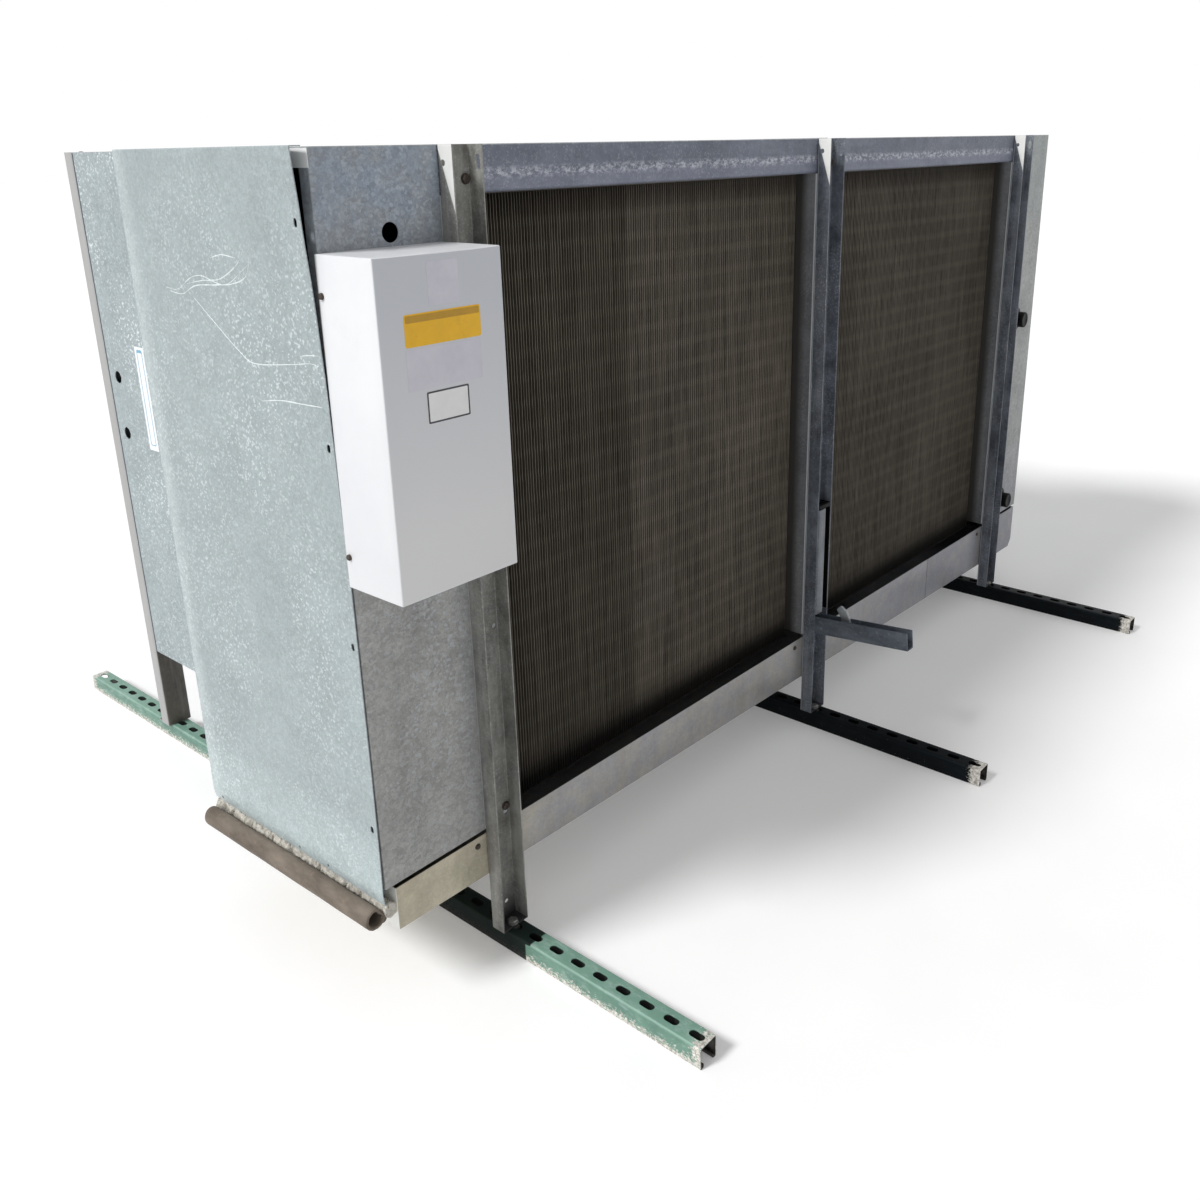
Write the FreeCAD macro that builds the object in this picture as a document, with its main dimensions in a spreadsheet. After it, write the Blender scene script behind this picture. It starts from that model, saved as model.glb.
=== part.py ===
# Large unit cooler (refrigeration evaporator) on a base of three slotted strut rails.
# X runs along the cabinet, Y from the air intake to the fans, Z up. Z = 0 is the floor.
# The origin is under the middle rail, halfway along it. All sizes are in millimetres.

import FreeCAD, Part
import math
import os
import re
import Sketcher

doc = FreeCAD.newDocument("unit_cooler")

# Driving sizes
sizes = {
    "rail_spacing": 1016,
    "rail_length": 2032,
    "strut_side": 41.3,
    "strut_wall": 2.7,
    "strut_gap": 22.2,
    "strut_lip": 7.5,
    "slot_pitch": 50.8,
    "slot_length": 28.6,
    "slot_width": 14.3,
    "first_slot": 22,
    "post_web": 58,
    "post_flange": 32,
    "post_wall": 2.7,
    "post_top": 1365,
    "back_foot": 52,
    "foot_bolt": 10,
    "hanger_drop": 25,
    "hanger_out": 23,
    "hanger_wide": 9,
    "hanger_long": 22,
    "small_hole": 9,
    "web_hole_height": 610,
    "bolt_head": 17,
    "front_set": 459,
    "case_depth": 1149,
    "case_floor": 243,
    "sheet_wall": 1.5,
    "beam_drop": 69,
    "beam_roll": 7,
    "left_bay": 210,
    "right_bay": 189,
    "bay_depth": 523,
    "cable_hole": 28,
    "cable_set": 43,
    "coil_setback": 45,
    "coil_depth": 440,
    "coil_low": 226,
    "fin_pitch": 31.75,
    "fin_slot": 28.5,
    "fin_cap": 8,
    "tube_plate": 2.5,
    "tube_size": 16,
    "bend_pitch": 150,
    "fan_size": 760,
    "fan_blades": 5,
    "tip_gap": 9,
    "throat_depth": 42,
    "bell_curve": 24,
    "hub_size": 130,
    "hub_depth": 52,
    "blade_wall": 3,
    "shaft_size": 25.4,
    "shaft_fit": 0.05,
    "motor_size": 180,
    "motor_length": 235,
    "motor_gap": 70,
    "motor_foot": 8,
    "motor_bar": 38,
    "guard_wire": 6,
    "guard_rise": 52,
    "guard_step": 105,
    "pan_lip": 235,
    "pan_left_low": 156,
    "pan_right_low": 104,
    "pan_wall": 2,
    "pan_left_inset": 17,
    "pan_right_inset": 5,
    "drain_size": 42,
    "drain_length": 44,
    "drain_inset": 90,
    "drain_wall": 3,
    "nut_across": 52,
    "nut_height": 7,
    "box_width": 217,
    "box_depth": 121,
    "box_height": 468,
    "box_low": 764,
    "box_wall": 1.2,
    "box_tray": 14,
    "screw_across": 8,
    "screw_rise": 4,
    "screw_set": 8,
    "screw_low": 48,
    "screw_drop": 54,
    "mount_inset": 15,
    "mount_depth": 7,
    "mount_height": 35,
    "terminal_inset": 33,
    "terminal_width": 150,
    "terminal_depth": 42,
    "terminal_height": 50,
    "terminal_pitch": 12.5,
    "terminal_groove": 2,
    "groove_depth": 13,
    "relay_inset": 26,
    "relay_pitch": 92,
    "relay_width": 70,
    "relay_depth": 45,
    "relay_height": 84,
    "relay_step": 6,
    "relay_rise": 34,
    "knockout_size": 28,
    "knockout_drop": 114,
    "cover_low_front": 216,
    "cover_low_back": 204,
    "cover_lip": 16,
    "spring_low": 9,
    "spring_top": 26,
    "spreader_length": 45,
    "feeder_reach": 90,
    "feeder_size": 10,
    "stub_size": 41.3,
    "stub_reach": 30,
    "cap_length": 26,
    "cap_wall": 1.6,
    "grommet_size": 76,
    "header_size": 54,
    "liquid_height": 850,
    "suction_height": 292,
    "arm_width": 28,
    "arm_height": 43,
    "arm_reach": 266,
    "arm_tilt": 5.4,
    "arm_low": 250,
    "upright_height": 262,
    "upright_gap": 8,
    "upright_set": 3,
    "plug_height": 24,
    "arm_set": 4,
    "clip_wall": 3,
    "clip_width": 18,
    "clip_rise": 34,
    "sleeve_size": 50,
    "sleeve_hollow": 28,
    "sleeve_mouth": 69,
    "bead_height": 26,
    "bead_inset": 4,
    "part_gap": 0.3,
}

sheet = doc.addObject("Spreadsheet::Sheet", "Sizes")
for row, (name, value) in enumerate(sizes.items(), start=1):
    sheet.set(f"A{row}", name)
    sheet.set(f"B{row}", str(value))
    sheet.setAlias(f"B{row}", name)
doc.recompute()

# Places worked out from the driving sizes
worked_out = {
    "front": "front_set - rail_length / 2",
    "back": "front + case_depth",
    "case_half": "rail_spacing + post_web / 2",
    "roof_under": "post_top - sheet_wall",
    "left_end": "-case_half - left_bay",
    "right_end": "case_half + right_bay",
    "bay_back": "front + bay_depth",
    "beam_low": "post_top - beam_drop",
    "hanger_height": "post_top - hanger_drop",
    "knockout_height": "post_top - knockout_drop",
    "coil_front": "front + coil_setback",
    "coil_top": "beam_low - part_gap",
    "end_plate": "rail_spacing - post_web / 2 - 2",
    "mid_plate": "post_web / 2 + 2",
    "fan_x": "rail_spacing / 2",
    "fan_z": "(case_floor + post_top) / 2",
    "throat": "fan_size / 2 + tip_gap",
    "motor_front": "back - throat_depth - motor_gap",
    "motor_back": "motor_front - motor_length",
    "pan_left": "left_end + pan_left_inset",
    "pan_right": "right_end - pan_right_inset",
    "pipe_x": "case_half + right_bay / 3",
    "spreader_y": "front + bay_depth / 5",
    "header_y": "front + bay_depth * 0.62",
    "sleeve_x": "left_end - sleeve_size / 2 + 2",
    "box_right": "-case_half - part_gap",
    "box_left": "box_right - box_width",
    "box_front": "front - box_depth",
    "cavity": "post_web - 2 * post_wall",
    "drain_x": "pan_right - drain_inset",
    "drain_y": "front + bay_depth / 2",
    "mount_low": "box_low + box_height * 0.3",
    "tray_face": "front - box_wall",
    "relay_low": "box_low + box_height * 0.62",
    "upright_front": "front - post_flange - upright_set",
    "upright_low": "arm_low + arm_height + upright_gap",
}

places = doc.addObject("App::VarSet", "Places")


def bind(expression):
    """Turn plain size names in an expression into cell and place references."""
    def swap(match):
        word = match.group(0)
        if word in sizes:
            return "Sizes." + word
        if word in worked_out:
            return "Places." + word
        return word
    return re.sub(r"(?<![.\w])[a-z_]+\b", swap, str(expression))


for name, expression in worked_out.items():
    places.addProperty("App::PropertyFloat", name, "Places", "")
for name, expression in worked_out.items():
    places.setExpression(name, bind(expression))
doc.recompute()


def size(name):
    return float(sheet.get(name))


def spot(name):
    return float(getattr(places, name))


nodes = []


def finish(piece, label):
    """Name a piece and keep it for the files."""
    piece.Label = label
    nodes.append(piece)
    return piece


def put(piece, at, turn=None):
    """Place a piece by three expressions, with an optional turn."""
    if turn is not None:
        piece.Placement = FreeCAD.Placement(FreeCAD.Vector(0, 0, 0), turn)
    for letter, expression in zip("xyz", at):
        piece.setExpression("Placement.Base." + letter, bind(expression))
    return piece


def block(name, extent, at, turn=None):
    piece = doc.addObject("Part::Box", name)
    for side, expression in zip(("Length", "Width", "Height"), extent):
        piece.setExpression(side, bind(expression))
    return put(piece, at, turn)


along = {
    "x": FreeCAD.Rotation(FreeCAD.Vector(0, 1, 0), 90),
    "y": FreeCAD.Rotation(FreeCAD.Vector(1, 0, 0), -90),
    "z": FreeCAD.Rotation(),
}


def rod(name, radius, length, at, axis="z"):
    piece = doc.addObject("Part::Cylinder", name)
    piece.setExpression("Radius", bind(radius))
    piece.setExpression("Height", bind(length))
    return put(piece, at, along[axis])


def prism(name, sides, radius, length, at, axis="z"):
    """A rod or hole tool drawn with flats, for hexagons and for what repeats many times."""
    piece = doc.addObject("Part::Prism", name)
    piece.Polygon = sides
    piece.setExpression("Circumradius", bind(radius))
    piece.setExpression("Height", bind(length))
    return put(piece, at, along[axis])


def hexagon(name, across, length, at, axis="z"):
    return prism(name, 6, f"({across}) / sqrt(3)", length, at, axis)


def join(name, pieces):
    joined = doc.addObject("Part::MultiFuse", name)
    joined.Shapes = pieces
    return joined


def group(name, pieces):
    grouped = doc.addObject("Part::Compound", name)
    grouped.Links = pieces
    return grouped


def cut(name, base, tools):
    result = doc.addObject("Part::Cut", name)
    result.Base = base
    result.Tool = tools[0] if len(tools) == 1 else group(name + "_tools", tools)
    return result


def shaped(name, shape, at=(0, 0, 0)):
    """Hold a shape made with Part's own functions."""
    piece = doc.addObject("Part::Feature", name)
    piece.Shape = shape
    piece.Placement = FreeCAD.Placement(FreeCAD.Vector(*at), FreeCAD.Rotation())
    return piece


def facet(*corners):
    return Part.Face(Part.makePolygon(list(corners) + [corners[0]]))


def ring_of_flats(section, sides):
    """A ring about the Y axis, drawn with flats, its section given as pairs of radius and height."""
    turn = 2 * math.pi / sides
    loops = [[FreeCAD.Vector(radius * math.cos(turn * i), y, radius * math.sin(turn * i))
              for i in range(sides)]
             for radius, y in section]
    facets = []
    for near, far in zip(loops, loops[1:] + loops[:1]):
        for i in range(sides):
            j = (i + 1) % sides
            facets.append(facet(near[i], near[j], far[j], far[i]))
    return Part.Solid(Part.Shell(facets))


def plane_of(body, role):
    return next(item for item in body.Origin.OriginFeatures if item.Role == role)


def sketch_on(body, role, lift="0"):
    sketch = body.newObject("Sketcher::SketchObject", body.Name + "_sketch")
    sketch.AttachmentSupport = [(plane_of(body, role), "")]
    sketch.MapMode = "FlatFace"
    if lift != "0":
        sketch.setExpression("AttachmentOffset.Base.z", bind(lift))
    return sketch


def pin_point(sketch, edge, end, across, up):
    """Tie one end of an edge to the sketch's axes by two expressions."""
    if across == "0":
        sketch.addConstraint(Sketcher.Constraint("PointOnObject", edge, end, -2))
    else:
        index = sketch.addConstraint(Sketcher.Constraint("DistanceX", -1, 1, edge, end, 10.0 + edge))
        sketch.setExpression(f"Constraints[{index}]", bind(across))
    if up == "0":
        sketch.addConstraint(Sketcher.Constraint("PointOnObject", edge, end, -1))
    else:
        index = sketch.addConstraint(Sketcher.Constraint("DistanceY", -1, 1, edge, end, 10.0 + edge))
        sketch.setExpression(f"Constraints[{index}]", bind(up))


def outline(body, role, corners, lift="0"):
    """Sketch a closed outline of straight edges whose corners are expressions."""
    sketch = sketch_on(body, role, lift)
    count = len(corners)
    turn = 2 * math.pi / count
    start = [FreeCAD.Vector(50 * math.cos(turn * i), 50 * math.sin(turn * i), 0) for i in range(count)]
    for i in range(count):
        sketch.addGeometry(Part.LineSegment(start[i], start[(i + 1) % count]), False)
    for i in range(count):
        sketch.addConstraint(Sketcher.Constraint("Coincident", i, 2, (i + 1) % count, 1))
    for i, (across, up) in enumerate(corners):
        pin_point(sketch, i, 1, across, up)
    return sketch


def pad(body, sketch, length, reverse=False):
    feature = body.newObject("PartDesign::Pad", body.Name + "_pad")
    feature.Profile = sketch
    feature.Reversed = reverse
    feature.setExpression("Length", bind(length))
    sketch.Visibility = False
    return feature


def pocket(body, sketch, depth):
    feature = body.newObject("PartDesign::Pocket", body.Name + "_pocket")
    feature.Profile = sketch
    feature.setExpression("Length", bind(depth))
    sketch.Visibility = False
    return feature


def profile(name, role, corners, length, reverse=False):
    """A body of one padded outline."""
    body = doc.addObject("PartDesign::Body", name)
    pad(body, outline(body, role, corners), length, reverse)
    return body


def round_where(body, wanted, radius):
    """Round the edges whose two ends pass a test."""
    doc.recompute()
    base = body.Tip
    names = []
    for index, edge in enumerate(base.Shape.Edges, start=1):
        if wanted(edge.Vertexes[0].Point, edge.Vertexes[-1].Point):
            names.append(f"Edge{index}")
    feature = body.newObject("PartDesign::Fillet", body.Name + "_bend")
    feature.Base = (base, names)
    feature.setExpression("Radius", bind(radius))
    body.Tip = feature
    return feature


def round_edges(body, axis, corners, radius):
    """Round the long straight edges that pass the given corners across the axis."""
    others = [i for i in range(3) if i != axis]

    def wanted(first, last):
        if abs(first[axis] - last[axis]) < 1:
            return False
        return any(all(abs(first[o] - want) < 0.01 for o, want in zip(others, corner)) for corner in corners)

    return round_where(body, wanted, radius)


def slot_outline(body, lift):
    """Sketch the rail's second slot, square ended to keep the faces few where it repeats."""
    left, right = "(strut_side - slot_width) / 2", "(strut_side + slot_width) / 2"
    low = "first_slot + slot_pitch - slot_length / 2"
    high = "first_slot + slot_pitch + slot_length / 2"
    return outline(body, "XY_Plane", [(left, low), (right, low), (right, high), (left, high)], lift)


# Base rails: strut channel with its open side down and a row of oval slots on top
slot_run = size("rail_length") - size("first_slot") - size("slot_length") / 2
slot_count = int(slot_run // size("slot_pitch")) + 1


def end_slot(name, x, y):
    """A round-ended slot tool, for the first and last slots that anchors go through."""
    straight = "(slot_length - slot_width)"
    low, through = "strut_side - strut_wall * 1.5", "strut_wall * 2"
    middle = block(name + "_middle", ("slot_width", straight, through),
                   (f"{x} - slot_width / 2", f"{y} - {straight} / 2", low))
    rounds = [rod(f"{name}_round_{number}", "slot_width / 2", through, (x, f"{y} + {half} * {straight}", low))
              for number, half in enumerate((-0.5, 0.5))]
    return join(name, [middle] + rounds)


def strut_rail(label, x):
    lip_in = "(strut_side - strut_gap) / 2"
    lip_out = "(strut_side + strut_gap) / 2"
    corners = [
        ("0", "0"), (lip_in, "0"), (lip_in, "strut_lip"), (lip_in + " - strut_wall", "strut_lip"),
        (lip_in + " - strut_wall", "strut_wall"), ("strut_wall", "strut_wall"),
        ("strut_wall", "strut_side - strut_wall"),
        ("strut_side - strut_wall", "strut_side - strut_wall"),
        ("strut_side - strut_wall", "strut_wall"), (lip_out + " + strut_wall", "strut_wall"),
        (lip_out + " + strut_wall", "strut_lip"), (lip_out, "strut_lip"), (lip_out, "0"),
        ("strut_side", "0"), ("strut_side", "strut_side"), ("0", "strut_side"),
    ]
    body = profile(label + "_channel", "XZ_Plane", corners, "rail_length", reverse=True)
    side = size("strut_side")
    round_edges(body, 1, [(0, side), (side, side)], "strut_wall * 1.2")
    first = pocket(body, slot_outline(body, "strut_side"), "strut_wall * 1.5")
    pattern = body.newObject("PartDesign::LinearPattern", label + "_slots")
    pattern.Originals = [first]
    pattern.Direction = (first.Profile[0], ["V_Axis"])
    pattern.Occurrences = slot_count - 2
    pattern.setExpression("Length", bind("slot_pitch") + f" * {slot_count - 3}")
    body.Tip = pattern
    put(body, (f"{x} - strut_side / 2", "-rail_length / 2", "0"))
    ends = [end_slot(f"{label}_end_slot_{number}", x, f"first_slot - rail_length / 2 + slot_pitch * {number}")
            for number in (0, slot_count - 1)]
    return finish(cut(label, body, ends), label)


def nearest_slot(y):
    """How many pitches from the first slot the slot nearest to y is."""
    return round((y + size("rail_length") / 2 - size("first_slot")) / size("slot_pitch"))


columns = {"left": "-rail_spacing", "middle": "0", "right": "rail_spacing"}
for side_name, x in columns.items():
    strut_rail("rail_" + side_name, x)

# Posts: open channels with a foot plate on the rail, six in all
def post(label, x, row):
    """A channel open away from the cabinet: row is front or back."""
    out = -1 if row == "front" else 1
    foot = "post_flange" if row == "front" else "back_foot"
    corners = [
        ("0", "0"), ("post_wall", "0"), ("post_wall", "post_flange - post_wall"),
        ("post_web - post_wall", "post_flange - post_wall"), ("post_web - post_wall", "0"),
        ("post_web", "0"), ("post_web", "post_flange"), ("0", "post_flange"),
    ]
    channel = profile(label + "_channel", "XY_Plane", corners, "post_top - strut_side")
    wide, deep = size("post_web"), size("post_flange")
    round_edges(channel, 2, [(0, deep), (wide, deep)], "post_wall * 1.4")
    turn = FreeCAD.Rotation(FreeCAD.Vector(0, 0, 1), 0 if out < 0 else 180)
    put(channel, (f"{x} + {out} * post_web / 2", f"{row} + {out} * post_flange", "strut_side"), turn)
    foot_low = f"{row} - {foot}" if out < 0 else f"{row} + post_wall"
    plate = block(label + "_foot", ("cavity", f"{foot} - post_wall", "post_wall"),
                  (f"{x} - cavity / 2", foot_low, "strut_side"))
    through = "post_wall * 3"
    left_side = f"{x} - post_web / 2 - post_wall * 1.5"
    right_side = f"{x} + post_web / 2 - post_wall * 1.5"
    holes = [
        block(label + "_hanger_slot", (through, "hanger_wide", "hanger_long"),
              (right_side, f"{row} + {out} * hanger_out - hanger_wide / 2",
               "hanger_height - hanger_long / 2")),
        prism(label + "_bolt_hole", 8, "foot_bolt / 2 + 1", through,
              (x, foot_bolt_y[row], "strut_side - post_wall")),
    ]
    if row == "front":
        holes.append(prism(label + "_top_hole", 8, "small_hole / 2", through,
                           (left_side, f"{row} + {out} * hanger_out / 2", "hanger_height"), "x"))
        holes.append(prism(label + "_low_hole", 8, "small_hole / 2", through,
                           (f"{x} + post_web / 3", "front - post_wall * 1.5", "web_hole_height"), "y"))
    return finish(cut(label, join(label + "_whole", [channel, plate]), holes), label)


# A foot bolt stands in the rail slot nearest to its post, where the foot plate covers it
front_slot = nearest_slot(spot("front") - size("post_flange") / 2)
back_slot = nearest_slot(spot("back") + size("back_foot") - size("slot_width"))
slot_slack = "(slot_length - slot_width) / 2"
foot_bolt_y = {
    "front": f"first_slot - rail_length / 2 + slot_pitch * {front_slot} + {slot_slack}",
    "back": f"first_slot - rail_length / 2 + slot_pitch * {back_slot}",
}

for row in ("front", "back"):
    for side_name, x in columns.items():
        post(f"post_{row}_{side_name}", x, row)

# Foot bolts, each with its square strut nut under the rail's top
foot_bolts = []
for row in ("front", "back"):
    for side_name, x in columns.items():
        name = f"foot_bolt_{row}_{side_name}"
        y = foot_bolt_y[row]
        shank = prism(name + "_shank", 8, "foot_bolt / 2", "strut_wall + post_wall + 9",
                    (x, y, "strut_side - strut_wall - 9"))
        head = hexagon(name + "_head", "bolt_head", 6.4, (x, y, "strut_side + post_wall"))
        nut = block(name + "_nut", (20, 20, 9),
                    (f"{x} - 10", f"{y} - 10", "strut_side - strut_wall - 9"))
        foot_bolts.append(join(name, [shank, head, nut]))
finish(group("foot_bolts", foot_bolts), "foot_bolts")

# Bolts that hold the posts to the cabinet, two a post, with their heads in the channel
post_bolts = []
for row in ("front", "back"):
    plane, out = ("front", -1) if row == "front" else ("back", 1)
    for side_name, x in columns.items():
        for level, height in (("top", "post_top - 48"), ("low", "case_floor + 25")):
            name = f"post_bolt_{row}_{side_name}_{level}"
            start = f"{plane} - post_wall - 5" if out < 0 else f"{plane} + post_wall"
            post_bolts.append(hexagon(name, 13, 5, (f"{x} + post_web / 2 - 11", start, height), "y"))
finish(group("post_bolts", post_bolts), "post_bolts")

# Front top beams, a channel open to the back with a rolled lower edge
def front_beam(label, x):
    corners = [
        ("0", "0"), ("coil_setback", "0"), ("coil_setback", "sheet_wall"),
        ("sheet_wall", "sheet_wall"), ("sheet_wall", "beam_drop - 2 * sheet_wall"),
        ("coil_setback / 2", "beam_drop - 2 * sheet_wall"),
        ("coil_setback / 2", "beam_drop - sheet_wall"), ("0", "beam_drop - sheet_wall"),
    ]
    body = profile(label, "YZ_Plane", corners, "case_half - part_gap")
    wall = size("sheet_wall")
    round_edges(body, 0, [(wall, wall)], "beam_roll - sheet_wall")
    round_edges(body, 0, [(0, 0)], "beam_roll")
    put(body, (x, "front", "beam_low"))
    return finish(body, label)


front_beam("front_beam_left", "-case_half")
front_beam("front_beam_right", "part_gap")

# Cabinet skin
finish(block("roof_panel", ("2 * case_half", "case_depth", "sheet_wall"),
             ("-case_half", "front", "roof_under")), "roof_panel")
finish(block("plenum_floor", ("2 * (case_half - sheet_wall)", "back - bay_back - sheet_wall", "sheet_wall"),
             ("sheet_wall - case_half", "bay_back", "case_floor")), "plenum_floor")
finish(block("plenum_divider", ("sheet_wall", "back - bay_back - sheet_wall",
                                "roof_under - case_floor - sheet_wall"),
             ("-sheet_wall / 2", "bay_back", "case_floor + sheet_wall")), "plenum_divider")


def fan_side_panel(label, x, holes):
    corners = [
        ("0", "0"), ("sheet_wall", "0"),
        ("sheet_wall", "back - bay_back - sheet_wall"), ("0", "back - bay_back - sheet_wall"),
    ]
    panel = profile(label + "_sheet", "XY_Plane", corners, "roof_under - case_floor")
    put(panel, (x, "bay_back", "case_floor"))
    if holes:
        panel = cut(label, panel, holes)
    return finish(panel, label)


cable_holes = [
    prism(f"cable_hole_{number}", 8, "cable_hole / 2", "sheet_wall * 3",
          ("-case_half - sheet_wall", "back - cable_set", height), "x")
    for number, height in enumerate(("fan_z + 100", "fan_z - 24"))
]
fan_side_panel("fan_side_panel_left", "-case_half", cable_holes)
fan_side_panel("fan_side_panel_right", "case_half - sheet_wall", [])


# Fan panels: a plate with a bell mouth spun inward to the throat, drawn with flats
mouth_sides = 36


def bell_ring():
    """The flared mouth and the throat behind it, about the fan's axis."""
    throat, flare, wall = spot("throat"), size("bell_curve"), size("sheet_wall")
    depth, face = size("throat_depth"), spot("back")
    rim = throat + flare
    return ring_of_flats([(rim, face), (throat, face - flare), (throat, face - depth),
                          (throat + wall, face - depth), (rim, face - wall)], mouth_sides)


def fan_panel(label, low_x, fan_x):
    plate = block(label + "_plate", ("case_half - part_gap", "sheet_wall", "roof_under - case_floor"),
                  (low_x, "back - sheet_wall", "case_floor"))
    hole = prism(label + "_hole", mouth_sides, "throat + bell_curve", "sheet_wall * 3",
                 (fan_x, "back - 2 * sheet_wall", "fan_z"), "y")
    flat = cut(label + "_flat", plate, [hole])
    ring = shaped(label + "_ring", bell_ring())
    put(ring, (fan_x, "0", "fan_z"))
    return finish(join(label, [flat, ring]), label)


fan_panel("fan_panel_left", "-case_half", "-fan_x")
fan_panel("fan_panel_right", "part_gap", "fan_x")


# Fan wheels: a hub, a shaft and twisted blades of cambered sheet
def blade_row(radius, chord, pitch, camber, lift):
    """Points across one face of a blade, kept on a circle of one radius about the fan's axis."""
    lean = math.radians(pitch)
    row = []
    for across, bow in ((-0.5, 0), (-0.15, 1), (0.2, 0.85), (0.5, 0)):
        x, y = across * chord, bow * camber + lift
        side = x * math.cos(lean) - y * math.sin(lean)
        row.append(FreeCAD.Vector(side, x * math.sin(lean) + y * math.cos(lean),
                                  math.sqrt(radius ** 2 - side ** 2)))
    return row


def blade():
    """One blade of flat facets, standing along +Z from the hub, widest and flattest at its tip."""
    root, tip = size("hub_size") / 2 * 0.68, size("fan_size") / 2
    stations = ((0, 58, 42, 6), (0.45, 190, 30, 20), (1, 225, 21, 18))
    loops = []
    for share, chord, pitch, camber in stations:
        radius = root + share * (tip - root)
        under = blade_row(radius, chord, pitch, camber, 0)
        over = blade_row(radius, chord, pitch, camber, size("blade_wall"))
        loops.append(under + over[::-1])
    facets = []
    count = len(loops[0])
    for inner, outer in zip(loops, loops[1:]):
        for i in range(count):
            j = (i + 1) % count
            facets += [facet(inner[i], inner[j], outer[j]), facet(inner[i], outer[j], outer[i])]
    for loop in (loops[0], loops[-1]):
        for i in range(count // 2 - 1):
            a, b, c, d = loop[i], loop[i + 1], loop[count - 2 - i], loop[count - 1 - i]
            facets += [facet(a, b, c), facet(a, c, d)]
    return Part.Solid(Part.Shell(facets))


def blade_seat(radius, depth, count):
    """The hub's middle part, with one flat for each blade."""
    half = math.pi / count
    corners = [FreeCAD.Vector(radius * math.sin(half * (2 * i + 1)), -depth / 2,
                              radius * math.cos(half * (2 * i + 1)))
               for i in range(count)]
    return facet(*corners).extrude(FreeCAD.Vector(0, depth, 0))


def fan_wheel(label, side):
    vector = FreeCAD.Vector
    axis = vector(0, 1, 0)
    count = int(size("fan_blades"))
    hub_depth = size("hub_depth")
    one = blade()
    blades = []
    for number in range(count):
        turned = one.copy()
        turned.rotate(vector(0, 0, 0), axis, 360 * number / count)
        blades.append(turned)
    centre_y = spot("back") - size("throat_depth") * 0.65
    shaft_start = spot("motor_front") - centre_y - size("motor_length") / 3 + 1
    shaft = Part.makeCylinder(size("shaft_size") / 2, -shaft_start, vector(0, shaft_start, 0), axis)
    nose = Part.makeCylinder(size("hub_size") / 4, 14, vector(0, hub_depth / 2 - 2, 0), axis)
    wheel = blade_seat(size("hub_size") / 2, hub_depth, count).fuse(blades + [shaft, nose])
    return finish(shaped(label, wheel, (side * spot("fan_x"), centre_y, spot("fan_z"))), label)


fan_wheel("fan_wheel_left", -1)
fan_wheel("fan_wheel_right", 1)


# Motors: a closed frame of twelve flats on a foot, with a blind bore for the shaft
def motor(label, x):
    frame = prism(label + "_frame", 12, "motor_size / 2", "motor_length", (x, "motor_back", "fan_z"), "y")
    base = block(label + "_base", ("motor_size * 0.8", "motor_length * 0.7", "motor_size * 0.25"),
                 (f"{x} - motor_size * 0.4", "motor_back + motor_length * 0.15",
                  "fan_z - motor_size / 2 - motor_foot"))
    bore = rod(label + "_bore", "shaft_size / 2 + shaft_fit", "motor_length / 3 + 1",
               (x, "motor_front - motor_length / 3", "fan_z"), "y")
    return finish(cut(label, join(label + "_whole", [frame, base]), [bore]), label)


motor("fan_motor_left", "-fan_x")
motor("fan_motor_right", "fan_x")


# Motor rails: two bars across the fan bay that the motor base stands on
def motor_rails(label, low_x):
    bars = []
    for number, share in enumerate((0.25, 0.75)):
        bars.append(block(f"{label}_bar_{number}",
                          ("case_half - 1.5 * sheet_wall", "motor_bar", "motor_bar"),
                          (low_x, f"motor_back + motor_length * {share} - motor_bar / 2",
                           "fan_z - motor_size / 2 - motor_foot - motor_bar")))
    hollows = []
    for number, share in enumerate((0.25, 0.75)):
        hollows.append(block(f"{label}_hollow_{number}",
                             ("case_half", "motor_bar - 2 * post_wall", "motor_bar"),
                             (f"{low_x} - 0.5",
                              f"motor_back + motor_length * {share} - motor_bar / 2 + post_wall",
                              "fan_z - motor_size / 2 - motor_foot - motor_bar - post_wall")))
    return finish(cut(label, group(label + "_bars", bars), hollows), label)


motor_rails("motor_rails_left", "sheet_wall - case_half")
motor_rails("motor_rails_right", "sheet_wall / 2")


# Fan guards: a domed grille of square wire rings, drawn with flats, on four bent spokes
ring_sides = 12


def ring_wire(radius, y, wire):
    """One ring of square wire about the fan's axis."""
    reach, low = wire / 2, y - wire / 2
    return ring_of_flats([(radius - reach, low), (radius + reach, low),
                          (radius + reach, low + wire), (radius - reach, low + wire)], ring_sides)


def guard_path(edge):
    """The spoke's line from the middle of the dome to the panel, as radius and height."""
    rise = size("guard_rise")
    return [(0, rise), (edge - rise * 1.6, rise), (edge, size("guard_wire") / 2)]


def guard_height(radius, path):
    (_, rise), (bend, _), (edge, foot) = path
    if radius <= bend:
        return rise
    return rise - (rise - foot) * (radius - bend) / (edge - bend)


def guard_spoke(path, wire, angle):
    """A flat strip of square wire that follows the path and laps under the rings."""
    upper = [FreeCAD.Vector(radius, height, -wire / 2) for radius, height in path]
    lower = [FreeCAD.Vector(radius, max(height - wire, 0), -wire / 2) for radius, height in reversed(path)]
    face = Part.Face(Part.makePolygon(upper + lower + [upper[0]]))
    spoke = face.extrude(FreeCAD.Vector(0, 0, wire))
    spoke.rotate(FreeCAD.Vector(0, 0, 0), FreeCAD.Vector(0, 1, 0), angle)
    return spoke


def fan_guard(label, side):
    wire = size("guard_wire")
    edge = spot("throat") + size("bell_curve") + 12
    path = guard_path(edge)
    count = int(edge // size("guard_step"))
    radii = [edge - size("guard_step") * number for number in range(count)]
    rings = [ring_wire(radius, guard_height(radius, path), wire) for radius in radii]
    spokes = [guard_spoke(path, wire, 90 * number) for number in range(4)]
    grille = rings[0].fuse(rings[1:] + spokes)
    return finish(shaped(label, grille, (side * spot("fan_x"), spot("back"), spot("fan_z"))), label)


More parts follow.
